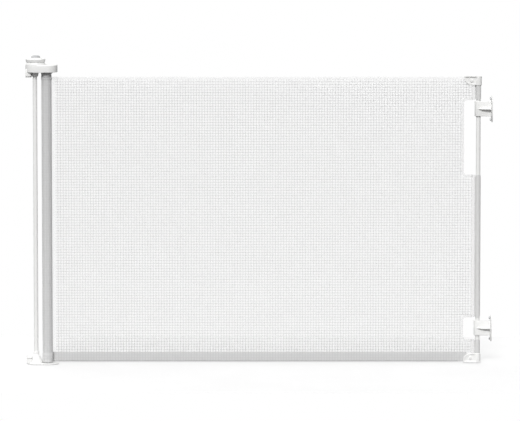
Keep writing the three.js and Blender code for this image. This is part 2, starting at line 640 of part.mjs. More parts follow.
function addEndStrip() {
  const half = HEM_THICKNESS / 2;
  const sheet = box([STRIP_LEFT, BAR_X], [MESH_Y - half, MESH_Y + half], [MESH_BOTTOM, MESH_TOP]);
  const lowerCapTop = LOWER_CAP_BOTTOM + CORNER_CAP.height;
  const upperCapBottom = UPPER_CAP_TOP - CORNER_CAP.height;
  const sleeves = [
    [lowerCapTop + GAP, LOWER_CUTOUT.bottom],
    [LOWER_CUTOUT.top, UPPER_CUTOUT.bottom],
    [UPPER_CUTOUT.top, upperCapBottom - GAP],
  ].map((span) => rod(SLEEVE_BORE + SLEEVE_THICKNESS, span, BAR_X, MESH_Y));
  const barSpace = rod(SLEEVE_BORE, [0, MESH_TOP + 10], BAR_X, MESH_Y);
  const screwWays = Object.values(cornerScrews()).map((one) => screwHole(one));
  const body = join(sheet, ...sleeves);
  add('mesh_end_strip',
    cut(body, barSpace, cutout(UPPER_CUTOUT), cutout(LOWER_CUTOUT), ...screwWays), whiteMesh);
}

// A corner cap's outline. up is 1 for the lower cap and -1 for the upper, which is its mirror.
function cornerOutline(base, up) {
  const { height, pastBar, slope, round, foot } = CORNER_CAP;
  const right = BAR_X + pastBar;
  const outline = new THREE.Shape();
  outline.moveTo(CUTOUT_LEFT, base);
  outline.lineTo(right - round, base);
  outline.quadraticCurveTo(right, base, right, base + up * round);
  outline.lineTo(right, base + up * (height - round));
  outline.quadraticCurveTo(right, base + up * height, right - round, base + up * height);
  outline.lineTo(CUTOUT_LEFT + slope, base + up * height);
  outline.quadraticCurveTo(
    CUTOUT_LEFT + foot, base + up * (height - foot / 2), CUTOUT_LEFT, base + up * foot,
  );
  outline.closePath();
  return outline;
}

function addCornerCap(name, base, up) {
  const { height, depth, floor } = CORNER_CAP;
  const block = carriedAlongY(cornerOutline(base, up), [MESH_Y - depth / 2, MESH_Y + depth / 2], 6);
  const span = (from, to) => [base + up * from, base + up * to].sort((a, b) => a - b);
  const bore = rod(SLEEVE_BORE, span(floor, height + 1), BAR_X, MESH_Y);
  const slotHalf = HEM_THICKNESS / 2 + GAP;
  const meshEdge = up > 0 ? MESH_BOTTOM - LOWER_CAP_BOTTOM : UPPER_CAP_TOP - MESH_TOP;
  const slot = box(
    [CUTOUT_LEFT - 1, BAR_X], [MESH_Y - slotHalf, MESH_Y + slotHalf],
    span(meshEdge - GAP, height + 1),
  );
  add(name, cut(block, bore, slot, screwHole(cornerScrews()[name])), whitePlastic);
}

function addBarEnd() {
  addEndStrip();
  add('handle_bar', ring(BAR_RADIUS - BAR_WALL, BAR_RADIUS, [BAR_BOTTOM, BAR_TOP], BAR_X, MESH_Y),
    whitePaint);
  addCornerCap('bar_bottom_cap', LOWER_CAP_BOTTOM, 1);
  addCornerCap('bar_top_cap', UPPER_CAP_TOP, -1);
  addScrew('bar_bottom_screw', cornerScrews().bar_bottom_cap);
  addScrew('bar_top_screw', cornerScrews().bar_top_cap);
}

// ---- Wall catches ----

// The hook in plan: an arm from the wall that passes in front of the bar, and a lip that turns
// round the bar's left side and stops just behind its middle, so the mouth is open to the rear.
function hookOutline() {
  const front = MESH_Y - HOOK_OUTER;
  const lipEnd = MESH_Y + HOOK.lip;
  const arm = RIGHT_WALL - FLANGE.thickness + OVERLAP;
  const outline = new THREE.Shape();
  outline.moveTo(arm, front);
  outline.lineTo(arm, front + HOOK.wall);
  outline.absarc(BAR_X, MESH_Y, HOOK_INNER, 1.5 * Math.PI, Math.PI, true);
  outline.lineTo(BAR_X - HOOK_INNER, lipEnd);
  outline.lineTo(BAR_X - HOOK_OUTER, lipEnd);
  outline.absarc(BAR_X, MESH_Y, HOOK_OUTER, Math.PI, 1.5 * Math.PI, false);
  outline.closePath();
  return outline;
}

function flangeOutline(z) {
  const { depth, height, tipWidth, tipDrop } = FLANGE;
  const outline = new THREE.Shape();
  const y0 = FLANGE_Y - depth / 2;
  const y1 = FLANGE_Y + depth / 2;
  const side = height / 2 - tipDrop;
  outline.moveTo(y0, z - side);
  outline.quadraticCurveTo(y0, z - height / 2, FLANGE_Y - tipWidth / 2, z - height / 2);
  outline.lineTo(FLANGE_Y + tipWidth / 2, z - height / 2);
  outline.quadraticCurveTo(y1, z - height / 2, y1, z - side);
  outline.lineTo(y1, z + side);
  outline.quadraticCurveTo(y1, z + height / 2, FLANGE_Y + tipWidth / 2, z + height / 2);
  outline.lineTo(FLANGE_Y - tipWidth / 2, z + height / 2);
  outline.quadraticCurveTo(y0, z + height / 2, y0, z + side);
  outline.closePath();
  return outline;
}

function addCatch(name, z) {
  const flangeLeft = RIGHT_WALL - FLANGE.thickness;
  const hook = raised(hookOutline(), [z - HOOK.height / 2, z + HOOK.height / 2], 10);
  const flange = carriedAlongX(flangeOutline(z), [flangeLeft, RIGHT_WALL], 5);
  const armFront = MESH_Y - HOOK_OUTER;
  const ribPlan = polygon([
    [BAR_X - RIB.beforeBar, armFront + 1], [BAR_X + RIB.pastBar, armFront - RIB.shoulder],
    [flangeLeft + OVERLAP, armFront - RIB.depth], [flangeLeft + OVERLAP, armFront + 1],
  ]);
  const rib = raised(ribPlan, [z - RIB.thickness / 2, z + RIB.thickness / 2]);
  const reach = FLANGE.height / 2 - CATCH_SCREW_INSET;
  const screws = [-1, 1].map((side) => screw(
    [flangeLeft - SCREW.headHeight - GAP / 2, FLANGE_Y, z + side * reach],
    [-1, 0, 0],
    FLANGE.thickness + SCREW.headHeight + GAP / 2,
  ));
  const ways = screws.map(({ top }) => aimed(
    rod(SCREW.shank + GAP, [-20, 20], 0, 0, SMALL), [RIGHT_WALL, FLANGE_Y, top[2]], [-1, 0, 0],
  ));
  add(`${name}_catch`, cut(join(hook, flange, rib), ...ways), whitePlastic);
  addScrew(`${name}_catch_screw_low`, screws[0]);
  addScrew(`${name}_catch_screw_high`, screws[1]);
}

// ---- Lock: dial, button, cam, ratchet and pawl ----

function addDial() {
  const rimInner = DIAL_RADIUS - DIAL_RIM;
  const roof = POCKET_FLOOR - DIAL_TOP_THICKNESS;
  const profile = [
    [HUB_BORE, HUB_BOTTOM], [HUB_RADIUS, HUB_BOTTOM], [HUB_RADIUS, roof], [rimInner, roof],
    [rimInner, DIAL_BOTTOM], [DIAL_RADIUS, DIAL_BOTTOM], [DIAL_RADIUS, DIAL_TOP - DIAL_EDGE],
    [DIAL_RADIUS - DIAL_EDGE / 3, DIAL_TOP - DIAL_EDGE / 3], [DIAL_RADIUS - DIAL_EDGE, DIAL_TOP],
    [BUTTON_RADIUS + RUN_GAP, DIAL_TOP], [BUTTON_RADIUS + RUN_GAP, POCKET_FLOOR],
    [HUB_BORE, POCKET_FLOOR], [HUB_BORE, HUB_BOTTOM],
  ];
  const dial = cut(turned(profile, DIAL_X, 0, FINE), screwHole(camScrew()));
  add('lock_dial', dial, whitePlastic);
}

function addButton() {
  const springRoom = BUTTON_BOTTOM + BUTTON_SKIRT.depth;
  const domeStart = BUTTON_BOTTOM + BUTTON_SKIRT.height;
  const skirtInner = BUTTON_RADIUS - BUTTON_SKIRT.wall;
  const dome = [];
  for (let i = 0; i <= 6; i += 1) {
    const angle = (i / 6) * (Math.PI / 2);
    dome.push([
      BUTTON_RADIUS * Math.cos(angle) ** 0.8,
      domeStart + (BUTTON_TOP - domeStart) * Math.sin(angle),
    ]);
  }
  dome[dome.length - 1][0] = 0;
  const stemBottom = HUB_BOTTOM + BUTTON_TRAVEL + 1;
  const profile = [
    [0, stemBottom], [STEM_RADIUS, stemBottom], [STEM_RADIUS, springRoom],
    [skirtInner, springRoom], [skirtInner, BUTTON_BOTTOM], [BUTTON_RADIUS, BUTTON_BOTTOM],
    ...dome,
  ];
  add('lock_button', turned(profile, DIAL_X, 0, 28), buttonPlastic);
  const { radius, wire, turns } = BUTTON_SPRING;
  add('button_spring',
    helix(radius, wire, turns, [POCKET_FLOOR + GAP, springRoom - GAP], DIAL_X, 0), steel);
}

// Half of the pawl's swing: the cam pin works in the pawl's slot, and goes as far to either
// side of the line between the two axes.
const pawlFromDial = new THREE.Vector2(PAWL_X - DIAL_X, PAWL_Y);
const HALF_SWING = Math.atan2(
  CAM_PIN_OFFSET * Math.sin(DIAL_TURN / 2),
  pawlFromDial.length() - CAM_PIN_OFFSET * Math.cos(DIAL_TURN / 2),
);

function camScrew() {
  const z = HUB_BOTTOM + 4;
  return screw([DIAL_X - CAM_RADIUS, 0, z], [-1, 0, 0], 5.4, SMALL_SCREW);
}

function addCam() {
  const collar = [CAM_BOTTOM, CAP_ROOF - RUN_GAP];
  const cup = cut(
    rod(CAM_RADIUS, collar, DIAL_X, 0),
    rod(HUB_RADIUS + GAP, [CAM_BOTTOM + CAM_FLOOR, collar[1] + 1], DIAL_X, 0),
  );
  const angle = pawlFromDial.angle() + DIAL_TURN / 2;
  const pin = rod(
    CAM_PIN_RADIUS, [PAWL_BOTTOM - 0.2, CAM_BOTTOM + 1],
    DIAL_X + CAM_PIN_OFFSET * Math.cos(angle), CAM_PIN_OFFSET * Math.sin(angle), SMALL,
  );
  add('dial_cam', cut(join(cup, pin), screwHole(camScrew())), innerPlastic);
  addScrew('dial_cam_screw', camScrew());
}

// Where the pawl's nose meets the ratchet: a tangent from the pawl's pivot to the teeth.
const pivotDistance = Math.hypot(PAWL_PIVOT.x, PAWL_PIVOT.y);
const NOSE_ANGLE = Math.atan2(PAWL_PIVOT.y, PAWL_PIVOT.x)
  + Math.acos((RATCHET_RADIUS - RATCHET_DEPTH / 2) / pivotDistance);

function ratchetScrew() {
  const top = RATCHET_BOTTOM + RATCHET_THICKNESS + GAP + SCREW.headHeight + GAP;
  return screw([ROLL_X, 0, top], [0, 0, 1], 12);
}

// Saw teeth. Each steep face looks back towards the pawl, and one stands where the nose meets.
function addRatchet() {
  const points = [];
  const pitch = (2 * Math.PI) / RATCHET_TEETH;
  for (let tooth = 0; tooth < RATCHET_TEETH; tooth += 1) {
    const start = NOSE_ANGLE + tooth * pitch;
    const end = start + pitch * 0.999;
    const root = RATCHET_RADIUS - RATCHET_DEPTH;
    points.push([RATCHET_RADIUS * Math.cos(start), RATCHET_RADIUS * Math.sin(start)]);
    points.push([root * Math.cos(end), root * Math.sin(end)]);
  }
  const z = [RATCHET_BOTTOM, RATCHET_BOTTOM + RATCHET_THICKNESS];
  const wheel = raised(polygon(points), z).translate(ROLL_X, 0, 0);
  const bore = rod(SPINDLE_RADIUS + GAP, [z[0] - 1, z[1] + 1], ROLL_X, 0);
  add('ratchet_wheel', cut(wheel, bore), innerPlastic);
  addScrew('ratchet_screw', ratchetScrew());
}

// The pawl's outline is drawn about its pivot with its nose in the teeth.
function pawlNose() {
  const root = RATCHET_RADIUS - RATCHET_DEPTH;
  const atRim = (radius, back) => [
    radius * Math.cos(NOSE_ANGLE - back) - PAWL_PIVOT.x,
    radius * Math.sin(NOSE_ANGLE - back) - PAWL_PIVOT.y,
  ];
  const tip = atRim(root + PAWL_NOSE.tipLift, PAWL_NOSE_BACK.tip);
  const heel = atRim(RATCHET_RADIUS + PAWL_NOSE.heelLift, PAWL_NOSE_BACK.tip);
  const inner = atRim(RATCHET_RADIUS + PAWL_NOSE.flankLift, PAWL_NOSE_BACK.flank);
  const along = new THREE.Vector2(heel[0], heel[1]).normalize();
  const side = along.clone().rotateAround(new THREE.Vector2(), Math.PI / 2);
  side.multiplyScalar(PAWL_ARM_HALF_WIDTH);
  return polygon([tip, inner, [side.x, side.y], [-side.x, -side.y], heel].reverse());
}

function addPawl() {
  const z = [PAWL_BOTTOM, PAWL_BOTTOM + PAWL_THICKNESS];
  const reach = pawlFromDial.length() - CAM_PIN_OFFSET;
  const tailAngle = pawlFromDial.angle() + Math.PI + HALF_SWING;
  const slotHalf = CAM_PIN_RADIUS + CAM_SLOT_PLAY;
  const tailHalf = slotHalf + CAM_SLOT.wall;
  const tail = box([0, reach + CAM_SLOT.tail], [-tailHalf, tailHalf], z).rotateZ(tailAngle);
  const through = [z[0] - 1, z[1] + 1];
  const slotSpan = [reach - CAM_SLOT.before, reach + CAM_SLOT.after];
  const slot = box(slotSpan, [-slotHalf, slotHalf], through).rotateZ(tailAngle);
  const body = join(raised(pawlNose(), z), rod(PAWL_HUB_RADIUS, z, 0, 0), tail);
  const bore = rod(PAWL_PIN_RADIUS + GAP, through, 0, 0, SMALL);
  const released = geometryOf(cut(body, slot, bore))
    .rotateZ(-2 * HALF_SWING)
    .translate(PAWL_X, PAWL_Y, 0);
  add('pawl', released, innerPlastic);
  add('pawl_pin', rod(PAWL_PIN_RADIUS, [LID_TOP + GAP, CAP_ROOF - GAP], PAWL_X, PAWL_Y, SMALL),
    steel);
}

addTopBracket();
addBaseBracket();
addTopCap();
addTopCapLid();
addSpindleBushing();
addPost();
addBase();
addRoller();
addMeshPanel();
addBarEnd();
Object.entries(CATCHES).forEach(([name, z]) => addCatch(name, z));
addDial();
addButton();
addCam();
addRatchet();
addPawl();

export default gate;
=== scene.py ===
"""The looks of a retractable mesh safety gate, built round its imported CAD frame.

Metres. X runs from the housing to the wall catches, Y to the rear, Z up from the floor.
Every place comes from a CAD node's box; the constants below are sizes of details.
"""

import json
import math

import bmesh
import bpy
from mathutils import Matrix, Vector


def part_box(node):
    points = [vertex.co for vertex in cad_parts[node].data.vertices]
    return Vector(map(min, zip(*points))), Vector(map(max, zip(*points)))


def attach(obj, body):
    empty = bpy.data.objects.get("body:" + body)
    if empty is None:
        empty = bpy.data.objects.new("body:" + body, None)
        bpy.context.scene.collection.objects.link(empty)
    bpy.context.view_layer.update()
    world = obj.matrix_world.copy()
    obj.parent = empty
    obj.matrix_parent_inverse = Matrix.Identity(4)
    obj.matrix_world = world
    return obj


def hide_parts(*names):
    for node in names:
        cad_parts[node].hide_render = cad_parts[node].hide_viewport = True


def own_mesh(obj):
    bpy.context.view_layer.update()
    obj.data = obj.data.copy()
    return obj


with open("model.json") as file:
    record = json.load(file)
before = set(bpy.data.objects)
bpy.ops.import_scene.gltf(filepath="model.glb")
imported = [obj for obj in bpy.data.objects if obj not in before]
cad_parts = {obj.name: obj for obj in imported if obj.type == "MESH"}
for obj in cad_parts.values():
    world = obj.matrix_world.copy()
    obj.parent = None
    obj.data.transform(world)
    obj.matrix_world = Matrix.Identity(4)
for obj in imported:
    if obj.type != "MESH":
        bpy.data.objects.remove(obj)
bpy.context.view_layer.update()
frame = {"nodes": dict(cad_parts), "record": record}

# ---- Camera ----
CAMERA_PITCH = math.radians(6)  # looking down
CAMERA_DISTANCE = 13.2971
CAMERA_LENS = 312.9  # mm
CAMERA_SENSOR = 36  # mm wide
CAMERA_SIDE = 0.00245  # how far right of the origin the camera stands
CAMERA_AIM_HEIGHT = 0.4524

# ---- Housing ----
SEAT_HEIGHT = 0.007  # sloped ring on the cap, under the dial
CAP_WALL = 0.0024
CAP_EDGE = 0.0028
SEAT_DRAW = 0.0026  # how much the seat draws in over its height
PLATE_REACH = 0.012  # how far a plate's rings go in before it is closed
LID_THICKNESS = 0.0024
SPINDLE_HOLE = 0.0067  # radius of the spindle's hole in the lid
ROOF_HOLE = 0.0093  # radius of the dial's hole in the cap
COLLAR_TOP = 0.0115
COLLAR_FOOT = 0.009
BASE_THICKNESS = 0.0034
BOSS_FOOT = 0.0195
BOSS_TOP = 0.0086
TUBE_WALL = 0.0012
TUBE_EDGE = 0.0004
PIVOT_RADIUS = 0.005
PIVOT_HEIGHT = 0.017
SHAFT_HOLE = 0.0028
FIT = 0.0003  # between pieces that fit into one another
BRACKET_EDGE = 0.0011
SEAM_HEIGHT = 0.0024
SCREW_HOLE_DEPTH = 0.0027
DIAL_HEIGHT = 0.0107
DIAL_RIM = 0.0027
DIAL_LEAN = 0.0016  # how much narrower the dial is at its foot
COLLAR_RISE = 0.003  # of the ring round the button over the dial's top
DIAL_FLUTES = 60
FLUTE_DEPTH = 0.006  # as a share of the dial's radius
BUTTON_SKIRT = 0.0075  # the depth of the button's rim
POCKET_RADIUS = 0.0139
POCKET_DEPTH = 0.0024

# ---- Mesh cloth ----
ROLL_LAYER = 0.0007  # how far the roll's spiral steps in over one turn
ROLL_BORE = 0.0098
YARN_PITCH = 0.008
YARN_WIDTH = 0.00052
YARN_THICKNESS = 0.0003
YARN_PAIR = 0.0012  # between the two yarns of a pair
SCRIM_PITCH = 0.002
SCRIM_WIDTH = 0.00018
SCRIM_THICKNESS = 0.0003
BOTTOM_HEM = 0.0015  # thickness
TOP_HEM = 0.0012
HEM_SHADE_CORD = 0.0009  # radius of the dark cord in the lower edge, whose dark grey is painted shade under the hem's fold
BILLOW = 0.0008  # how far the stretched mesh stands out of its plane
PLAIN_BAND = 0.0135  # close-woven tape between the mesh and the bar
BINDING = 0.007  # tape round the cutouts

# ---- Bar end ----
SLEEVE_WALL = 0.00095
SLEEVE_TAIL = 0.0018  # the two layers sewn together beside the bar
SLEEVE_DROOP = 0.0028  # how far a sleeve's end is rounded off to its sides
STITCH_PITCH = 0.0032
SLEEVE_CLOTH = 0.0007
BAND_HALF = 0.0004  # half the plain band's thickness
CUTOUT_CORNER = 0.009
CUTOUT_REACH = {"lower": (0.034, 0.031), "upper": (0.1945, 0.0255)}  # below, above a catch
WEB_HALF = 0.0074  # half the corner cap's rim, front to back
DISH_HALF = 0.0056  # half its web
DISH_INSET = 0.0026
CAP_SCREW_BOSS = 0.0046
FLANGE_CORNER = 0.0065  # more than the chamfer goes in
SLOT_HALF = 0.0011  # half the slot for the mesh

# ---- Wall catches ----
HOOK_GAP = 0.0014  # round the bar
HOOK_WALL = 0.003
HOOK_LIP = 0.004  # how far the hook's lip goes behind the bar's middle
HOOK_HALF_HEIGHT = 0.022
RIB_HALF = 0.002
FLANGE_THICKNESS = 0.005
FLANGE_RIM = 0.0026

# ---- Light and stage ----
KEY_LIGHT = {"elevation": 36, "azimuth": -8, "strength": 2.4, "softness": 18}
FILL_LIGHT = {"elevation": 25, "azimuth": -150, "strength": 0.8, "softness": 50}
SURROUND = (1.0, 0.92, 0.6)  # brightness at the left, in the middle and at the right
OVERHEAD = (0.16, 1.3)  # brightness at the horizon and overhead
FLOOR_HALF = (1.3, 0.6)
FLOOR_DROP = 0.0003
FLOOR_GLOW = 0.56  # lifts the paper to white for the camera alone

# ---- Mesh repair ----
WELD = 0.00002
GAP_SIDES = 8

WHITE = (0.84, 0.84, 0.83, 1)


# ---- Places from the CAD ----


def middle(low, high):
    return (low + high) / 2


def centre(name):
    return middle(*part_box(name))


def half_width(name):
    low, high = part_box(name)
    return (high.x - low.x) / 2


# ---- Meshes ----


def filleted(corners, closed=True):
    """Points (u, v) of a polygon of corners (u, v, radius), each rounded to its radius."""
    points = []
    count = len(corners)
    for i, (u, v, radius) in enumerate(corners):
        here = Vector((u, v))
        at_end = not closed and i in (0, count - 1)
        if radius <= 0 or at_end:
            points.append(here)
            continue
        before = Vector(corners[i - 1][:2]) - here
        after = Vector(corners[(i + 1) % count][:2]) - here
        half = before.angle(after) / 2
        if half > math.radians(89):
            points.append(here)
            continue
        reach = min(radius / math.tan(half), 0.49 * before.length, 0.49 * after.length)
        radius = reach * math.tan(half)
        middle = here + (before.normalized() + after.normalized()).normalized() * (
            radius / math.sin(half)
        )
        start = here + before.normalized() * reach - middle
        turn = start.angle_signed(here + after.normalized() * reach - middle)
        steps = max(2, math.ceil(abs(turn) / math.radians(15)))
        for k in range(steps + 1):
            angle = turn * k / steps
            points.append(middle + Matrix.Rotation(-angle, 2) @ start)
    return points


def arc(x, y, radius, start, turn, steps):
    """Points along part of a circle, from a start angle through a turn, in degrees."""
    angles = [math.radians(start + turn * k / steps) for k in range(steps + 1)]
    return [Vector((x + radius * math.cos(a), y + radius * math.sin(a))) for a in angles]


def stadium(low, high):
    """The plan of a box with two straight sides and half-circle ends, counterclockwise."""
    radius = (high.y - low.y) / 2
    right = arc(high.x - radius, 0, radius, -90, 180, 24)
    return right + arc(low.x + radius, 0, radius, 90, 180, 24)


def rectangle(u0, u1, v0, v1, near=0, far=0):
    """A counterclockwise rectangle. near and far round its corners at u0 and at u1."""
    return filleted([(u0, v0, near), (u1, v0, far), (u1, v1, far), (u0, v1, near)])


def inset(outline, amount):
    """The counterclockwise outline moved inwards by an amount, mitred at its corners."""
    moved = []
    count = len(outline)
    for i, point in enumerate(outline):
        before = (point - outline[i - 1]).normalized()
        after = (outline[(i + 1) % count] - point).normalized()
        along = (before + after).normalized()
        inward = Vector((-along.y, along.x))
        share = max(0.5, inward.dot(Vector((-before.y, before.x))))
        moved.append(point + inward * amount / share)
    return moved


def flat(u, v, w):
    """An outline drawn in plan, raised along Z."""
    return (u, v, w)


def upright(u, v, w):
    """An outline drawn in X and Z, carried along Y."""
    return (u, w, v)


def sideways(u, v, w):
    """An outline drawn in Y and Z, carried along X."""
    return (w, u, v)


def skin(shape, rings, capped=True):
    """Joins rings of points, each to the next, and closes the first and the last."""
    made = [[shape.verts.new(point) for point in ring] for ring in rings]
    for one, other in zip(made, made[1:]):
        for i, corner in enumerate(one):
            after = (i + 1) % len(one)
            shape.faces.new((corner, one[after], other[after], other[i]))
    if capped:
        shape.faces.new(made[0])
        shape.faces.new(made[-1])
    else:
        for i, corner in enumerate(made[-1]):
            after = (i + 1) % len(made[-1])
            shape.faces.new((corner, made[-1][after], made[0][after], made[0][i]))
    return shape


def rim(low, high, edge, steps=4):
    """(inset, height) steps of a side whose two rims are rounded."""
    turns = [math.radians(90 * k / steps) for k in range(steps + 1)]
    foot = [(edge * (1 - math.sin(a)), low + edge * (1 - math.cos(a))) for a in turns]
    head = [(amount, low + high - height) for amount, height in reversed(foot)]
    return foot + head


def stepped(plan, steps):
    """A closed solid of a plan that is moved in by each step's (amount, height)."""
    rings = [[(p.x, p.y, height) for p in inset(plan, amount)] for amount, height in steps]
    return skin(bmesh.new(), rings)


def slab(outline, low, high, place=flat, edge=0.001, shape=None):
    """A closed plate of an outline's shape, with rounded rims, alone or beside others."""
    rings = []
    for amount, height in rim(low, high, edge):
        rings.append([place(p.x, p.y, height) for p in inset(outline, amount)])
    return skin(shape or bmesh.new(), rings)


def lathe(profile, x, y=0, segments=64, closed=False, wave=None):
    """A profile of (radius, height) turned about the upright line at x, y.

    Where the profile is open, its two ends lie on the line or are closed with a disc. wave
    gives the share of the radius at each angle for points on the outermost radius.
    """
    shape = bmesh.new()
    outermost = max(radius for radius, _ in profile)
    rings = []
    for radius, height in profile:
        ring = []
        for k in range(segments):
            angle = 2 * math.pi * k / segments
            here = max(radius, 1e-5)
            if wave and radius > outermost * 0.995:
                here *= wave(angle)
            ring.append((x + here * math.cos(angle), y + here * math.sin(angle), height))
        rings.append(ring)
    return skin(shape, rings, capped=not closed)


def turned(corners, x, y=0, segments=64, closed=False, wave=None):
    """A lathed shape of corners (radius, height, fillet)."""
    profile = [(p.x, p.y) for p in filleted(corners, closed)]
    return lathe(profile, x, y, segments, closed, wave)


def rod(radius, low, high, x, y=0, segments=64):
    """A plain round rod, to join to a shape or to cut from it."""
    return lathe([(0, low), (radius, low), (radius, high), (0, high)], x, y, segments)


def disc(x, z, radius, steps=32):
    """A circle's outline."""
    angles = [2 * math.pi * k / steps for k in range(steps)]
    return [Vector((x + radius * math.cos(a), z + radius * math.sin(a))) for a in angles]


def tube(radius, low, high, x, y=0):
    """A round tube with rounded rims."""
    inner = radius - TUBE_WALL
    corners = [(inner, low), (radius, low), (radius, high), (inner, high)]
    return turned([(*corner, TUBE_EDGE) for corner in corners], x, y, 48, closed=True)


def new_object(name, shape):
    bmesh.ops.recalc_face_normals(shape, faces=shape.faces)
    mesh = bpy.data.meshes.new(name)
    shape.to_mesh(mesh)
    shape.free()
    made = bpy.data.objects.new(name, mesh)
    bpy.context.scene.collection.objects.link(made)
    return made


def solid(name, base, *changes):
    """The base shape with others joined to it or cut from it; changes are (word, shape)."""
    made = new_object(name, base)
    tools = []
    for word, shape in changes:
        tool = new_object(f"{name}_tool", shape)
        modifier = made.modifiers.new(word, "BOOLEAN")
        modifier.operation = {"join": "UNION", "cut": "DIFFERENCE"}[word]
        modifier.solver = "EXACT"
        modifier.object = tool
        tools.append(tool)
    if tools:
        graph = bpy.context.evaluated_depsgraph_get()
        mesh = bpy.data.meshes.new_from_object(made.evaluated_get(graph))
        made.modifiers.clear()
        made.data = welded(mesh)
        mesh.name = name
    if not made.data.polygons:
        raise ValueError(f"{name} came out empty")
    for tool in tools:
        bpy.data.objects.remove(tool)
    return made


def welded(mesh):
    """Joins points closer than WELD, and mends the slivers and small gaps of a boolean."""
    shape = bmesh.new()
    shape.from_mesh(mesh)
    bmesh.ops.remove_doubles(shape, verts=shape.verts, dist=WELD)
    bmesh.ops.dissolve_degenerate(shape, edges=shape.edges, dist=WELD)
    gaps = [edge for edge in shape.edges if edge.is_boundary]
    bmesh.ops.holes_fill(shape, edges=gaps, sides=GAP_SIDES)
    shape.to_mesh(mesh)
    shape.free()
    return mesh


def fitted(piece, body, material, slot, *nodes, smooth=35):
    """Gives a piece its body, material and shading, and hides the CAD nodes it stands for."""
    piece.data.materials.clear()
    piece.data.materials.append(material)
    piece.data.shade_smooth()
    piece.data.set_sharp_from_angle(angle=math.radians(smooth))
    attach(piece, body)
    if nodes:
        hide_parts(*nodes)
    return piece


# ---- Materials ----


def node(tree, kind, inputs=None, **settings):
    """Adds a shader node. An input is given a value, or is linked to a socket."""
    made = tree.nodes.new(f"ShaderNode{kind}")
    for key, value in settings.items():
        setattr(made, key, value)
    for key, value in (inputs or {}).items():
        if isinstance(value, bpy.types.NodeSocket):
            tree.links.new(value, made.inputs[key])
        else:
            made.inputs[key].default_value = value
    return made


def maths(tree, operation, first, second=0.0):
    return node(tree, "Math", {0: first, 1: second}, operation=operation).outputs[0]


def start_material(name, **shader):
    """A material with its tree, its shader and the object's own coordinates."""
    material = bpy.data.materials.new(name)
    material.use_nodes = True
    tree = material.node_tree
    tree.nodes.clear()
    surface = node(tree, "BsdfPrincipled", shader)
    output = node(tree, "OutputMaterial")
    tree.links.new(surface.outputs[0], output.inputs["Surface"])
    place = node(tree, "TexCoord").outputs["Object"]
    return material, tree, surface, place


def noise(tree, place, scale, detail=2.0):
    inputs = {"Vector": place, "Scale": scale, "Detail": detail}
    return node(tree, "TexNoise", inputs).outputs["Fac"]


def ranged(tree, value, low, high, out_low, out_high, smooth=False):
    inputs = {
        "Value": value,
        "From Min": low,
        "From Max": high,
        "To Min": out_low,
        "To Max": out_high,
    }
    kind = "SMOOTHSTEP" if smooth else "LINEAR"
    return node(tree, "MapRange", inputs, interpolation_type=kind).outputs[0]


def tinted(tree, share, dark, light):
    """A colour between two, as the share goes from 0 to 1."""
    inputs = {"Factor": share, 6: dark, 7: light}
    return node(tree, "Mix", inputs, data_type="RGBA").outputs[2]


def bumped(tree, surface, height, distance, strength=1.0):
    inputs = {"Height": height, "Distance": distance, "Strength": strength}
    bump = node(tree, "Bump", inputs)
    tree.links.new(bump.outputs[0], surface.inputs["Normal"])


def shade(colour, share):
    return tuple(channel * share for channel in colour[:3]) + (1,)


def moulded(name, colour, roughness, grain=0.0004, depth=0.00002, metallic=0.0, coat=0.0):
    """Moulded plastic, paint or metal: fine texture, with slow change of tone and gloss."""
    material, tree, surface, place = start_material(
        name, Metallic=metallic, **{"Coat Weight": coat, "Coat Roughness": 0.2}
    )
    cloudy = noise(tree, place, 18)
    fine = noise(tree, place, 1 / grain, 3)
    coarse = maths(tree, "MULTIPLY", cloudy, 0.7)
    tone = maths(tree, "ADD", coarse, maths(tree, "MULTIPLY", fine, 0.3))
    colour_now = tinted(tree, ranged(tree, tone, 0.3, 0.7, 0, 1), shade(colour, 0.955), colour)
    tree.links.new(colour_now, surface.inputs["Base Color"])
    gloss = ranged(tree, cloudy, 0.3, 0.7, roughness - 0.05, roughness + 0.06)
    tree.links.new(gloss, surface.inputs["Roughness"])
    bumped(tree, surface, fine, depth, 0.6)
    return material


def crossing(tree, place, pitch, width, soft):
    """(along X, along Z): 1 on each yarn of a square lattice and 0 between them."""
    split = node(tree, "SeparateXYZ", {0: place})
    lines = []
    for axis in ("X", "Z"):
        away = maths(tree, "PINGPONG", split.outputs[axis], pitch / 2)
        lines.append(
            ranged(tree, away, width / 2 - soft, width / 2 + soft, 1, 0, smooth=True)
        )
    return lines


def cloth_tone(tree, place, dark, light):
    return tinted(tree, ranged(tree, noise(tree, place, 60, 4), 0.35, 0.65, 0, 1), dark, light)


def scrim_cloth(name, colour):
    """See-through scrim: fine yarns with holes between them."""
    material, tree, surface, place = start_material(
        name, Roughness=0.75, **{"Sheen Weight": 0.15}
    )
    across, along = crossing(tree, place, SCRIM_PITCH, SCRIM_WIDTH, 0.00003)
    yarn = maths(tree, "MAXIMUM", across, along)
    tree.links.new(yarn, surface.inputs["Alpha"])
    tree.links.new(
        cloth_tone(tree, place, shade(colour, 0.93), colour), surface.inputs["Base Color"]
    )
    bumped(tree, surface, noise(tree, place, 3000, 2), 0.00005)
    return material


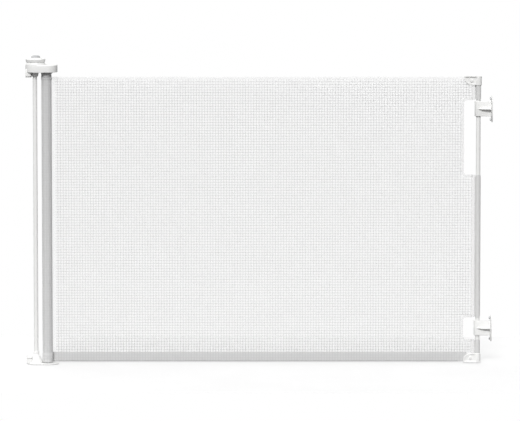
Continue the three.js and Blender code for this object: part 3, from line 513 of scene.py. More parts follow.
def close_cloth(name, colour, pitch=0.0009, depth=0.00012, lattice=0.0, alpha=1.0):
    """Close-woven or doubled cloth: a fine weave, and the mesh's lattice showing through."""
    material, tree, surface, place = start_material(
        name, Roughness=0.82, Alpha=alpha, **{"Sheen Weight": 0.2}
    )
    across, along = crossing(tree, place, pitch, pitch * 0.5, pitch * 0.22)
    weave = maths(tree, "ADD", across, along)
    wide, tall = crossing(tree, place, YARN_PITCH, 0.0026, 0.0009)
    raised = maths(tree, "MAXIMUM", wide, maths(tree, "MULTIPLY", tall, 0.6))
    shown = maths(tree, "MULTIPLY", raised, lattice)
    mottled = maths(tree, "MULTIPLY", noise(tree, place, 90, 4), 0.35)
    woven = maths(tree, "ADD", maths(tree, "MULTIPLY", weave, 0.3), mottled)
    tone = maths(tree, "ADD", woven, shown)
    tree.links.new(
        tinted(tree, ranged(tree, tone, 0.1, 1.0, 1, 0), shade(colour, 0.8), colour),
        surface.inputs["Base Color"],
    )
    bumped(tree, surface, maths(tree, "ADD", weave, shown), depth)
    return material


def make_materials():
    yarn = (0.72, 0.72, 0.72, 1)
    cloth = (0.69, 0.69, 0.69, 1)
    doubled = (0.68, 0.68, 0.68, 1)
    tape = (0.72, 0.72, 0.715, 1)
    return {
        "white_plastic": moulded("white_plastic_grained", WHITE, 0.42),
        "white_paint": moulded(
            "white_powder_coat", WHITE, 0.32, grain=0.0007, depth=0.00003, coat=0.25
        ),
        "button": moulded("grey_button_plastic", (0.42, 0.425, 0.43, 1), 0.4),
        "inner": moulded("grey_nylon", (0.27, 0.28, 0.3, 1), 0.55, grain=0.0006),
        "drum": moulded("pale_grey_nylon", (0.55, 0.55, 0.55, 1), 0.5, grain=0.0006),
        "steel": moulded(
            "zinc_plated_steel", (0.42, 0.43, 0.44, 1), 0.3, grain=0.0003, metallic=1.0
        ),
        "scrim": scrim_cloth("mesh_scrim", yarn),
        "yarn": close_cloth("mesh_yarn", yarn, pitch=0.0004, depth=0.00004),
        "hem": close_cloth("doubled_mesh_hem", doubled, lattice=0.4),
        "rolled": close_cloth("rolled_mesh", cloth, lattice=0.3),
        "tape": close_cloth("woven_tape", tape, pitch=0.0012),
        "binding": close_cloth("cutout_binding_tape", yarn, alpha=0.12),
        "band": close_cloth("end_band", yarn, alpha=0.22),
        # The hem cord's dark grey is painted shade: the dark line under the hem's lower fold.
        "shade_cord": close_cloth("hem_cord_painted_shade", (0.36, 0.36, 0.36, 1), pitch=0.0008),
        "thread": close_cloth("sewing_thread", WHITE, pitch=0.0003, depth=0.00002),
    }


# ---- Housing ----


def cap_shell(looks):
    """The cap: a thin shell, and the sloped seat that the dial turns on."""
    low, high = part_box("top_cap_shell")
    dial_x = centre("lock_dial").x
    top = high.z - SEAT_HEIGHT
    roof = top - CAP_WALL
    wall = [
        (PLATE_REACH, roof, 0),
        (CAP_WALL, roof, 0.0012),
        (CAP_WALL, low.z, 0.0004),
        (0, low.z, 0.0009),
        (0, top, CAP_EDGE),
        (PLATE_REACH, top, 0),
    ]
    foot = (high.y - low.y) / 2 - FIT
    seat = [
        (0, top - 0.001, 0),
        (foot, top - 0.001, 0),
        (foot, top + 0.0005, 0.0006),
        (foot - SEAT_DRAW, high.z, 0.0012),
        (0, high.z, 0),
    ]
    piece = solid(
        "cap_shell",
        stepped(stadium(low, high), filleted(wall, closed=False)),
        ("join", turned(seat, dial_x, segments=96)),
        ("cut", rod(ROOF_HOLE, roof - 0.001, high.z + 0.001, dial_x)),
    )
    fitted(piece, "housing", looks["white_plastic"], "white_plastic", "top_cap_shell")


def cap_lid(looks):
    """The plate under the cap, with the collar round the post."""
    low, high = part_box("top_cap_lid")
    bracket_low, bracket_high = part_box("top_wall_bracket")
    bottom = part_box("top_cap_shell")[0].z
    post_x = centre("support_post").x
    collar = [
        (0, low.z, 0),
        (COLLAR_FOOT, low.z, 0.0012),
        (COLLAR_TOP, bottom - 0.0015, 0.004),
        (COLLAR_TOP + 0.0025, bottom + 0.0006, 0),
        (0, bottom + 0.0006, 0),
    ]
    room = rectangle(
        low.x - 0.01, bracket_high.x + FIT, bracket_low.y - FIT, bracket_high.y + FIT
    )
    piece = solid(
        "cap_lid",
        slab(stadium(low, high), bottom, bottom + LID_THICKNESS, edge=0.0003),
        ("join", turned(collar, post_x)),
        ("cut", slab(room, low.z - 0.002, bottom, edge=0.0001)),
        ("cut", rod(half_width("support_post") + FIT, low.z - 0.001, bottom, post_x)),
        ("cut", rod(SPINDLE_HOLE, bottom - 0.001, high.z, centre("mesh_roll").x)),
    )
    fitted(piece, "housing", looks["white_plastic"], "white_plastic", "top_cap_lid")


def wall_bracket(level, looks, corner, groove):
    """A block on the wall with rounded front corners, screw holes and a seam round it."""
    low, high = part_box(f"{level}_wall_bracket")
    plan = rectangle(low.x, high.x, low.y, high.y, 0.0004, corner)
    seam = low.z + groove
    seam_top = seam + SEAM_HEIGHT
    deep = corner - 0.0006  # less than the corner's radius, or the outline would cross itself
    steps = rim(low.z, high.z, BRACKET_EDGE)
    half = len(steps) // 2
    band = [(0, seam), (deep, seam + 0.0001), (deep, seam_top - 0.0001), (0, seam_top)]
    holes = []
    for side in ("front", "rear"):
        screw_low, screw_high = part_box(f"{level}_bracket_screw_{side}")
        place = middle(screw_low, screw_high)
        hole = disc(place.y, place.z, (screw_high.z - screw_low.z) / 2 + FIT)
        cutter = slab(hole, high.x - SCREW_HOLE_DEPTH, high.x + 0.002, sideways, 0.00005)
        holes.append(("cut", cutter))
    shape = stepped(plan, steps[:half] + band + steps[half:])
    piece = solid(f"{level}_bracket", shape, *holes)
    white = looks["white_plastic"]
    fitted(piece, "housing", white, "white_plastic", f"{level}_wall_bracket")


def post(looks):
    low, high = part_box("support_post")
    shape = tube(half_width("support_post"), low.z, high.z, middle(low, high).x)
    piece = solid("post_tube", shape)
    fitted(piece, "housing", looks["white_paint"], "white_paint", "support_post")


def base(looks):
    """The base plate, the boss round the post's foot and the roller's pivot."""
    low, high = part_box("bottom_cap")
    bracket_low, bracket_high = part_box("bottom_wall_bracket")
    post_x = centre("support_post").x
    post_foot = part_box("support_post")[0].z
    roll_x = centre("mesh_roll").x
    over = high.z + 0.001
    plate = [
        (PLATE_REACH, 0, 0),
        (0.0014, 0, 0.0003),
        (0, 0.0012, 0.0008),
        (0, BASE_THICKNESS - 0.0008, 0.0010),
        (0.0016, BASE_THICKNESS, 0.0006),
        (PLATE_REACH, BASE_THICKNESS, 0),
    ]
    boss = [
        (0, 0.001, 0),
        (BOSS_FOOT, 0.001, 0),
        (BOSS_FOOT, BASE_THICKNESS + 0.0012, 0.0008),
        (BOSS_FOOT - 0.0035, 0.012, 0.008),
        (BOSS_TOP + 0.0022, 0.026, 0.01),
        (BOSS_TOP - 0.0008, 0.0295, 0.0008),
        (BOSS_TOP - 0.0008, 0.0312, 0.0006),
        (BOSS_TOP, 0.0318, 0.0006),
        (BOSS_TOP - 0.0006, high.z, 0.0012),
        (0, high.z, 0),
    ]
    room = rectangle(
        bracket_low.x - 0.001,
        bracket_high.x + FIT,
        bracket_low.y - FIT,
        bracket_high.y + FIT,
        far=0.001,
    )
    roll_room = half_width("mesh_roll") + 0.0006
    pivot_top = BASE_THICKNESS + PIVOT_HEIGHT
    piece = solid(
        "base_cap",
        stepped(stadium(low, high), filleted(plate, closed=False)),
        ("join", turned(boss, post_x, segments=96)),
        ("cut", rod(roll_room, BASE_THICKNESS, over, roll_x, segments=96)),
        ("cut", slab(room, BASE_THICKNESS + 0.0001, bracket_high.z + FIT, edge=0.0001)),
        ("cut", rod(half_width("support_post") + FIT, post_foot - FIT, over, post_x)),
        ("join", rod(PIVOT_RADIUS, 0.0024, pivot_top, roll_x)),
        ("cut", rod(SHAFT_HOLE, pivot_top - 0.009, pivot_top + 0.001, roll_x, segments=24)),
    )
    fitted(piece, "housing", looks["white_plastic"], "white_plastic", "bottom_cap")


def screw_shape(length, head=0.0038, head_height=0.0024, shank=0.002):
    """A pan-head screw along Z, with its head's top at the origin."""
    corners = [
        (0, -length, 0),
        (shank, -length + 0.003, 0.0005),
        (shank, -head_height, 0),
        (head, -head_height, 0.0003),
        (head, 0, 0.0011),
        (0, 0, 0),
    ]
    return turned(corners, 0, segments=32)


def cross_recess(depth=0.0014, reach=0.002, width=0.0008):
    """Two slots at right angles, to cut from a screw's head."""
    slots = []
    for long, short in ((reach, width / 2), (width / 2, reach)):
        outline = rectangle(-long, long, -short, short)
        slots.append(("cut", slab(outline, -depth, 0.001, edge=0.00005)))
    return slots


def screws(looks):
    """Fine screws in place of the ones that show."""
    places = {(1, 0, 0): [], (0, 0, -1): [], (0, 1, 0): [], (-1, 0, 0): []}
    for level in ("top", "bottom"):
        for side in ("front", "rear"):
            places[(1, 0, 0)].append((f"{level}_bracket_screw_{side}", "housing"))
        places[(0, 1, 0)].append((f"bar_{level}_screw", "free_end"))
    for side in ("left", "right"):
        places[(0, 0, -1)].append((f"lid_screw_{side}", "housing"))
    for level in ("lower", "upper"):
        for end in ("low", "high"):
            places[(-1, 0, 0)].append((f"{level}_catch_screw_{end}", "housing"))
    for direction, found in places.items():
        facing = Vector(direction)
        turn = Vector((0, 0, 1)).rotation_difference(facing).to_matrix().to_4x4()
        for name, body in found:
            low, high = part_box(name)
            size = high - low
            length = abs(size.dot(facing))
            top = middle(low, high) + facing * length / 2
            piece = solid(f"fine_{name}", screw_shape(length), *cross_recess())
            piece.data.transform(Matrix.Translation(top) @ turn)
            fitted(piece, body, looks["steel"], "steel", name)


# ---- Lock ----


def dial(looks):
    low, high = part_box("lock_dial")
    place = middle(low, high)
    radius = half_width("lock_dial")
    bottom = high.z - DIAL_HEIGHT
    floor = high.z - POCKET_DEPTH
    roof = floor - 0.0026
    inner = radius - DIAL_RIM
    corners = [
        (0.005, low.z, 0.0003),
        (0.009, low.z, 0.0003),
        (0.009, roof, 0.0005),
        (inner - DIAL_LEAN / 2, roof, 0.0012),
        (inner - DIAL_LEAN, bottom, 0.0003),
        (radius - DIAL_LEAN, bottom, 0.0006),
        (radius, high.z - 0.0024, 0.0012),
        (radius - 0.0022, high.z, 0.0016),
        (radius - 0.0048, high.z, 0.0016),
        (radius - 0.0072, high.z - 0.0009, 0.002),
        (POCKET_RADIUS + 0.0046, high.z - 0.0009, 0.002),
        (POCKET_RADIUS + 0.0018, high.z + COLLAR_RISE, 0.0012),
        (POCKET_RADIUS, high.z + COLLAR_RISE, 0.0006),
        (POCKET_RADIUS, floor, 0.0004),
        (0.005, floor, 0.0003),
    ]

    def flute(angle):
        return 1 - FLUTE_DEPTH * (0.5 + 0.5 * math.cos(DIAL_FLUTES * angle))

    shape = turned(corners, place.x, segments=DIAL_FLUTES * 6, closed=True, wave=flute)
    pointer = filleted(
        [
            (place.x - 0.0009, -radius + 0.0065, 0.0006),
            (place.x + 0.0009, -radius + 0.0065, 0.0006),
            (place.x + 0.0009, -radius + 0.0125, 0.0008),
            (place.x - 0.0009, -radius + 0.0125, 0.0008),
        ]
    )
    mark = slab(pointer, high.z - 0.002, high.z - 0.0003, edge=0.0003)
    piece = solid("dial_shell", shape, ("join", mark))
    fitted(piece, "dial", looks["white_plastic"], "white_plastic", "lock_dial")


def button(looks):
    low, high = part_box("lock_button")
    radius = half_width("lock_button")
    skirt = high.z - BUTTON_SKIRT
    corners = [
        (0, low.z, 0),
        (0.0046, low.z, 0.0005),
        (0.0046, skirt + 0.004, 0.001),
        (radius - 0.0023, skirt + 0.004, 0.001),
        (radius - 0.0023, skirt, 0.0004),
        (radius, skirt, 0.0005),
        (radius, high.z - 0.0028, 0.0032),
        (radius - 0.0045, high.z, 0.008),
        (0, high.z, 0),
    ]
    piece = solid("button_cap", turned(corners, middle(low, high).x, segments=96))
    fitted(piece, "button", looks["button"], "button_plastic", "lock_button")


# ---- Roll and mesh ----


def roll(looks):
    """The wound mesh: each turn lies on the one before, so its section is a spiral."""
    low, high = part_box("mesh_roll")
    place = middle(low, high)
    hem_radius = half_width("mesh_roll")
    bottom_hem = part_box("mesh_bottom_hem")[1].z
    top_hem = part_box("mesh_top_hem")[0].z
    steps = 120

    def ring(height, outer):
        points = []
        for k in range(steps):
            turn = k / steps
            angle = math.pi / 2 - 2 * math.pi * turn
            seam = 0.00025 * math.exp(-(((turn - 0.45) * 40) ** 2))
            ripple = 0.00006 * math.sin(height * 31 + angle * 3)
            radius = outer - ROLL_LAYER * turn - 0.00025 + seam + ripple
            x = place.x + radius * math.cos(angle)
            points.append((x, place.y + radius * math.sin(angle), height))
        return points

    def step_in(amount):
        return hem_radius - amount

    heights = [
        (low.z, step_in(0.0012)),
        (low.z + 0.0004, step_in(0.0003)),
        (low.z + 0.0012, step_in(0)),
        (bottom_hem - 0.0006, step_in(0)),
        (bottom_hem - 0.0001, step_in(0.0002)),
        (bottom_hem + 0.0006, step_in(0.0007)),
    ]
    spans = 36
    for k in range(1, spans):
        heights.append((bottom_hem + (top_hem - bottom_hem) * k / spans, step_in(0.0007)))
    heights += [
        (top_hem - 0.0006, step_in(0.0007)),
        (top_hem + 0.0001, step_in(0.0002)),
        (top_hem + 0.0006, step_in(0)),
        (high.z - 0.001, step_in(0)),
        (high.z - 0.0002, step_in(0.0006)),
        (high.z, step_in(0.0013)),
    ]
    shape = skin(bmesh.new(), [ring(height, outer) for height, outer in heights])
    bore = rod(ROLL_BORE, low.z - 0.001, high.z + 0.001, place.x, place.y, 48)
    piece = solid("wound_mesh", shape, ("cut", bore))
    return fitted(piece, "roller", looks["rolled"], "mesh_fabric", "mesh_roll")


def roll_head(looks):
    """The roller's top end: a grooved drum, as wide as the roll, under the cap."""
    low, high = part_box("roller_top_plug")
    place = middle(low, high)
    radius = half_width("roller_top_plug")
    drum_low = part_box("mesh_roll")[1].z + FIT
    drum_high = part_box("spindle_bushing")[0].z - 0.0006
    plug = 0.008
    corners = [
        (0, low.z, 0),
        (plug, low.z, 0.0005),
        (plug, drum_low, 0.0003),
        (radius - 0.0008, drum_low, 0.0004),
        (radius, drum_low + 0.0012, 0.0006),
        (radius, drum_low + 0.004, 0.0004),
        (radius - 0.0006, drum_low + 0.0045, 0.0004),
        (radius - 0.0006, drum_high - 0.0035, 0.0004),
        (radius, drum_high - 0.003, 0.0004),
        (radius, drum_high, 0.0008),
        (0.004, drum_high, 0.0006),
        (0.004, high.z, 0.0004),
        (0, high.z, 0),
    ]
    piece = solid("roll_head_drum", turned(corners, place.x, place.y, 72))
    fitted(piece, "roller", looks["drum"], "inner_plastic", "roller_top_plug")


def billow(x, z):
    """How far the stretched mesh stands out of its plane."""
    start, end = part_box("mesh_panel")[0].x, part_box("mesh_panel")[1].x
    share = (x - start) / (end - start)
    if share <= 0.03 or share >= 1:
        return 0.0
    held = math.sin(math.pi * (share - 0.03) / 0.97)
    wave = math.sin(9 * share + 2.2 * z) + 0.4 * math.sin(23 * share - 3 * z)
    return BILLOW * held * wave / 1.4


def ribbon(points, faces, path, across, width, thickness):
    """Adds a flat yarn along a path to lists of points and faces. across is X or Z."""
    first = len(points)
    section = ((-1, 0.25), (-0.5, 0.5), (0.5, 0.5), (1, 0.25), (0.5, -0.5), (-0.5, -0.5))
    for x, y, z in path:
        for side, deep in section:
            shift = side * width / 2
            sideways_x = shift if across == "X" else 0
            sideways_z = shift if across == "Z" else 0
            points.append((x + sideways_x, y + deep * thickness, z + sideways_z))
    for k in range(len(path) - 1):
        start = first + 6 * k
        for i in range(6):
            after = (i + 1) % 6
            faces.append((start + i, start + after, start + 6 + after, start + 6 + i))
    last = first + 6 * (len(path) - 1)
    faces.append(tuple(first + i for i in range(6)))
    faces.append(tuple(last + i for i in range(6)))


def from_lists(points, faces):
    shape = bmesh.new()
    made = [shape.verts.new(point) for point in points]
    for face in faces:
        shape.faces.new([made[i] for i in face])
    return shape


def lattice(x0, x1, z0, z1, plane, breaks=()):
    """Pairs of yarns each way on the lattice. breaks are (x, low, high) openings to x1."""
    points, faces = [], []
    spans = 24
    pair = (-YARN_PAIR / 2, YARN_PAIR / 2)

    def pieces(low, high, gaps):
        parts = [(low, high)]
        for gap_low, gap_high in gaps:
            cut = []
            for start, end in parts:
                if gap_low > start:
                    cut.append((start, min(end, gap_low)))
                if gap_high < end:
                    cut.append((max(start, gap_high), end))
            parts = cut
        return [(start, end) for start, end in parts if end - start > 0.001]

    for column in range(math.ceil(x0 / YARN_PITCH), math.floor(x1 / YARN_PITCH) + 1):
        for shift in pair:
            x = column * YARN_PITCH + shift
            if not x0 + YARN_WIDTH < x < x1 - YARN_WIDTH:
                continue
            gaps = [(low, high) for left, low, high in breaks if x > left]
            for low, high in pieces(z0, z1, gaps):
                path = []
                for k in range(spans + 1):
                    z = low + (high - low) * k / spans
                    path.append((x, plane - YARN_THICKNESS + billow(x, z), z))
                ribbon(points, faces, path, "X", YARN_WIDTH, YARN_THICKNESS)
    for row in range(math.ceil(z0 / YARN_PITCH), math.floor(z1 / YARN_PITCH) + 1):
        for shift in pair:
            z = row * YARN_PITCH + shift
            if not z0 + YARN_WIDTH < z < z1 - YARN_WIDTH:
                continue
            gaps = [(left, x1) for left, low, high in breaks if low < z < high]
            for low, high in pieces(x0, x1, gaps):
                path = []
                for k in range(spans * 2 + 1):
                    x = low + (high - low) * k / (spans * 2)
                    path.append((x, plane + YARN_THICKNESS + billow(x, z), z))
                ribbon(points, faces, path, "Z", YARN_WIDTH, YARN_THICKNESS)
    return from_lists(points, faces)


def cloth_strip(x0, x1, z0, z1, plane, thickness, columns=96, rows=24):
    """A thin closed sheet that follows the billow, with rounded edges."""
    half = thickness / 2
    heights = [z0 + (z1 - z0) * k / rows for k in range(rows + 1)]
    section = [(z, -half) for z in heights] + [(z, half) for z in reversed(heights)]
    rings = []
    for column in range(columns + 1):
        x = x0 + (x1 - x0) * column / columns
        ring = []
        for z, away in section:
            share = 0.35 if min(z - z0, z1 - z) < 1e-6 else 1
            ring.append((x, plane + billow(x, z) + away * share, z))
        rings.append(ring)
    return skin(bmesh.new(), rings)


def painted_shade_edge_cord(x0, x1, z, plane, radius, columns=96):
    """A round cord along the mesh's lower edge. Its dark grey is painted shade under the hem's
    fold.
    """
    rings = []
    for column in range(columns + 1):
        x = x0 + (x1 - x0) * column / columns
        y = plane + billow(x, z)
        rings.append([(x, y + p.x, z + p.y) for p in disc(0, 0, radius, 10)])
    return skin(bmesh.new(), rings)


def folded_to_roll(piece):
    """Gives the piece its own copy of its mesh."""
    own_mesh(piece)


def stitches(places, along, length=0.0022, radius=0.00022):
    """A row of short threads, pointed at both ends, at each place."""
    points, faces = [], []
    for place in places:
        first = len(points)
        here = Vector(place)
        way = Vector(along)
        side = way.cross(Vector((0, 1, 0)))
        points += [tuple(here - way * length / 2), tuple(here + way * length / 2)]
        for part in (-0.3, 0.3):
            for k in range(4):
                angle = math.pi / 2 * k
                spread = side * math.cos(angle) + Vector((0, 1, 0)) * math.sin(angle)
                points.append(tuple(here + way * length * part + spread * radius))
        for k in range(4):
            after = (k + 1) % 4
            faces.append((first, first + 2 + k, first + 2 + after))
            faces.append((first + 2 + k, first + 6 + k, first + 6 + after, first + 2 + after))
            faces.append((first + 1, first + 6 + after, first + 6 + k))
    return from_lists(points, faces)


def curtain(looks, roll_piece):
    low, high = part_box("mesh_panel")
    plane = middle(low, high).y
    bottom_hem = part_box("mesh_bottom_hem")
    top_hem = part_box("mesh_top_hem")
    bottom, top = bottom_hem[0].z, top_hem[1].z
    sheet = cloth_strip(low.x, high.x, bottom, top, plane, SCRIM_THICKNESS)
    scrim = solid("mesh_sheet", sheet)
    fitted(scrim, "curtain", looks["scrim"], "mesh_fabric", "mesh_panel")
    yarn_start = centre("mesh_roll").x + half_width("mesh_roll") + 0.008
    weave = lattice(yarn_start, high.x, bottom_hem[1].z, top_hem[0].z, plane)
    yarns = solid("mesh_yarns", weave)
    fitted(yarns, "curtain", looks["yarn"], "mesh_fabric", smooth=180)
    tape = cloth_strip(low.x, high.x, bottom, bottom_hem[1].z, plane, BOTTOM_HEM, rows=6)
    foot = solid("bottom_hem_tape", tape)
    fitted(foot, "curtain", looks["hem"], "mesh_fabric", "mesh_bottom_hem")
    fold = cloth_strip(low.x, high.x, top_hem[0].z, top, plane, TOP_HEM, rows=4)
    head = solid("top_hem_fold", fold)
    fitted(head, "curtain", looks["scrim"], "mesh_fabric", "mesh_top_hem")
    # A dark grey cord in the lower edge: painted shade under the hem's fold.
    shade_cord = solid("hem_edge_cord_painted_shade", painted_shade_edge_cord(low.x, high.x, bottom + HEM_SHADE_CORD, plane, HEM_SHADE_CORD))
    fitted(shade_cord, "curtain", looks["shade_cord"], "mesh_fabric")
    rows = []
    for x_step in range(math.floor((high.x - low.x - 0.03) / STITCH_PITCH)):
        x = low.x + 0.02 + STITCH_PITCH * x_step
        for z in (bottom_hem[1].z - 0.002, top_hem[0].z + 0.0008):
            rows.append((x, plane - 0.0008 + billow(x, z), z))
    seams = solid("hem_stitches", stitches(rows, (1, 0, 0)))
    fitted(seams, "curtain", looks["thread"], "mesh_fabric", smooth=180)
    for piece in (scrim, yarns, foot, head, shade_cord, seams):
        folded_to_roll(piece)


# ---- Bar end ----


def cutout_spans():
    """(low, high) of the two openings beside the bar, from the catches that they clear."""
    spans = []
    for name, (below, above) in CUTOUT_REACH.items():
        height = centre(f"{name}_catch").z
        spans.append((height - below, height + above))
    return spans


def strip_outline(left, right, bottom, top, cut_left, spans, corner):
    """The end strip's outline in X and Z, counterclockwise, with its cutouts."""
    corners = [(left, bottom, 0), (right, bottom, 0)]
    for low, high in spans:
        corners += [
            (right, low, 0),
            (cut_left, low, corner),
            (cut_left, high, corner),
            (right, high, 0),
        ]
    corners += [(right, top, 0), (left, top, 0)]
    return filleted(corners)


def end_strip(looks):
    low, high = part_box("mesh_end_strip")
    bar = centre("handle_bar")
    bar_radius = half_width("handle_bar")
    plane = centre("mesh_panel").y
    cut_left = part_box("bar_bottom_cap")[0].x
    spans = cutout_spans()
    band_left = bar.x - bar_radius - PLAIN_BAND
    outline = strip_outline(
        low.x, band_left + 0.002, low.z, high.z, cut_left, spans, CUTOUT_CORNER
    )
    half = SCRIM_THICKNESS / 2
    sheet = slab(outline, plane - half, plane + half, upright, edge=0.00005)
    scrim = solid("end_strip_sheet", sheet)
    fitted(scrim, "free_end", looks["scrim"], "mesh_fabric", "mesh_end_strip")
    bottom_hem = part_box("mesh_bottom_hem")[1].z
    top_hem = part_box("mesh_top_hem")[0].z
    breaks = [(cut_left - BINDING, a - BINDING, b + BINDING) for a, b in spans]
    weave = lattice(low.x, band_left, bottom_hem, top_hem, plane, breaks)
    yarns = solid("end_strip_yarns", weave)
    fitted(yarns, "free_end", looks["yarn"], "mesh_fabric", smooth=180)
    tape = cloth_strip(low.x, cut_left + 0.01, low.z, bottom_hem, plane, BOTTOM_HEM, 4, 6)
    hem = solid("end_strip_hem", tape)
    fitted(hem, "free_end", looks["hem"], "mesh_fabric")
    bindings(looks, plane, cut_left, band_left, spans)
    sleeves(looks, bar, bar_radius, plane, band_left, low.z, high.z, spans)


def bindings(looks, plane, cut_left, band_left, spans):
    """Tape folded over the mesh's edge round each cutout."""
    for name, (low, high) in zip(("lower", "upper"), spans):
        outer = filleted(
            [
                (band_left + 0.004, low - BINDING, 0),
                (band_left + 0.004, low, 0),
                (cut_left, low, CUTOUT_CORNER),
                (cut_left, high, CUTOUT_CORNER),
                (band_left + 0.004, high, 0),
                (band_left + 0.004, high + BINDING, 0),
                (cut_left - BINDING, high + BINDING, CUTOUT_CORNER + BINDING),
                (cut_left - BINDING, low - BINDING, CUTOUT_CORNER + BINDING),
            ]
        )
        outer.reverse()
        shape = slab(outer, plane - 0.0005, plane + 0.0005, upright, edge=0.0002)
        piece = solid(f"cutout_binding_{name}", shape)
        fitted(piece, "free_end", looks["binding"], "mesh_fabric")


def sleeves(looks, bar, bar_radius, plane, band_left, bottom, top, spans):
    """The woven tape round the bar, in three lengths, sewn flat beside it."""
    cap_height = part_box("bar_bottom_cap")[1].z
    cap_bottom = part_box("bar_top_cap")[0].z
    lengths = [
        (cap_height + FIT, spans[0][0]),
        (spans[0][1], spans[1][0]),
        (spans[1][1], cap_bottom - FIT),
    ]
    inner = bar_radius + FIT
    outer = inner + SLEEVE_WALL
    tail = bar.x - outer - SLEEVE_TAIL
    leave = math.asin((SLEEVE_CLOTH + 0.0003) / outer)
    steps = 40
    section = []
    for k in range(steps + 1):
        angle = math.pi - leave - (2 * math.pi - 2 * leave) * k / steps
        section.append((bar.x + outer * math.cos(angle), outer * math.sin(angle)))
    section += [(tail, -SLEEVE_CLOTH), (tail - 0.0005, 0), (tail, SLEEVE_CLOTH)]
    shapes = []
    threads = []
    band = bmesh.new()
    for index, (low, high) in enumerate(lengths):
        rows = max(6, round((high - low) / 0.012))
        droop_low = SLEEVE_DROOP if index > 0 else 0.0
        droop_high = SLEEVE_DROOP if index < 2 else 0.0
        rings = []
        for k in range(rows + 1):
            ring = []
            for x, y in section:
                side = min(1.0, abs(x - bar.x) / outer)
                z0 = low + droop_low * side**2
                z1 = high - droop_high * side**2
                z = z0 + (z1 - z0) * k / rows
                draw = 1 - 0.007 * (1 + math.sin(z * 190 + x * 700))
                if k in (0, rows):
                    draw = 0.975
                if x < bar.x - 0.9 * outer:
                    draw = 1
                ring.append((bar.x + (x - bar.x) * draw, plane + y * draw, z))
            rings.append(ring)
        shapes.append(skin(bmesh.new(), rings))
        plan = rectangle(band_left, tail + 0.001, low, high)
        slab(plan, plane - BAND_HALF, plane + BAND_HALF, upright, 0.0001, band)
        for row in range(math.floor((high - low - 0.004) / STITCH_PITCH)):
            z = low + 0.003 + STITCH_PITCH * row
            threads.append((tail + 0.001, plane - SLEEVE_CLOTH - 0.00005, z))
            threads.append((band_left + 0.0015, plane - 0.0005, z))
    flat_band = solid("end_band", band)
    fitted(flat_band, "free_end", looks["band"], "mesh_fabric")
    bore = rod(inner, bottom - 0.01, top + 0.01, bar.x, plane, 48)
    joined = [("join", shape) for shape in shapes[1:]]
    piece = solid("sleeve_tape", shapes[0], *joined, ("cut", bore))
    fitted(piece, "free_end", looks["tape"], "mesh_fabric", smooth=50)
    seams = solid("sleeve_stitches", stitches(threads, (0, 0, 1)))
    fitted(seams, "free_end", looks["thread"], "mesh_fabric", smooth=180)


def handle_bar(looks):
    low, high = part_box("handle_bar")
    place = middle(low, high)
    piece = solid("bar_tube", tube(half_width("handle_bar"), low.z, high.z, place.x, place.y))
    fitted(piece, "free_end", looks["white_paint"], "white_paint", "handle_bar")


def corner_cap(level, up, looks):
    """A cap on the mesh's corner: a web with a raised rim, a foot flange and a bar socket."""
    low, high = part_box(f"bar_{level}_cap")
    bar = centre("handle_bar")
    plane = bar.y
    floor = low.z if up > 0 else high.z
    height = high.z - low.z
    depth = (high.y - low.y) / 2
    left, right = low.x, high.x

    def z_at(above):
        return floor + up * above

    curve = []
    for k in range(13):
        angle = math.radians(90 * k / 12)
        x = left + 0.0235 - 0.0232 * math.cos(angle)
        z = 0.0036 + (height - 0.0042) * math.sin(angle) ** 0.9
        curve.append((x, z))

    def arched(shrink):
        """The quarter-round outline, smaller by an amount."""
        points = [Vector((left + shrink, z_at(shrink))), Vector((right - 0.002, z_at(shrink)))]
        points.append(Vector((right - 0.002, z_at(height - shrink))))
        for x, z in reversed(curve):
            if z - shrink > shrink + 0.0008:
                points.append(Vector((x + shrink, z_at(z - shrink))))
        return points if up > 0 else points[::-1]

    def dish(near, far):
        return slab(arched(DISH_INSET), plane + near, plane + far, upright, edge=0.0002)

    plan = rectangle(
        left, right, plane - depth, plane + depth, near=FLANGE_CORNER, far=FLANGE_CORNER
    )
    chamfer = [(0.0008, 0), (0, 0.0004), (0, 0.0009), (0.0036, 0.0034)]
    socket_ends = sorted((z_at(0.0005), z_at(height)))
    socket = [
        (0, socket_ends[0], 0),
        (depth, socket_ends[0], 0.0008),
        (depth, socket_ends[1], 0.0022),
        (0, socket_ends[1], 0),
    ]
    bore_ends = sorted((z_at(0.0034), z_at(height + 0.002)))
    edge_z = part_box("mesh_end_strip")[0 if up > 0 else 1].z
    slot_ends = sorted((edge_z - up * FIT, z_at(height + 0.002)))
    slot = rectangle(left - 0.002, bar.x, *slot_ends)
    screw = centre(f"bar_{level}_screw")
    screw_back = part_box(f"bar_{level}_screw")[1].y
    boss = disc(screw.x, screw.z, CAP_SCREW_BOSS)
    piece = solid(
        f"{level}_corner_cap",
        slab(arched(0.0), plane - WEB_HALF, plane + WEB_HALF, upright, edge=0.001),
        ("cut", dish(-0.02, -DISH_HALF)),
        ("cut", dish(DISH_HALF, 0.02)),
        ("join", stepped(plan, [(amount, z_at(rise)) for amount, rise in chamfer])),
        ("join", slab(boss, screw_back - 0.0175, plane, upright, edge=0.0009)),
        ("join", slab(boss, plane, screw_back - 0.0025, upright, edge=0.0003)),
        ("join", turned(socket, bar.x, plane)),
        ("cut", rod(half_width("handle_bar") + FIT, *bore_ends, bar.x, plane)),
        ("cut", slab(slot, plane - SLOT_HALF, plane + SLOT_HALF, upright, edge=0.0001)),
    )
    fitted(piece, "free_end", looks["white_plastic"], "white_plastic", f"bar_{level}_cap")


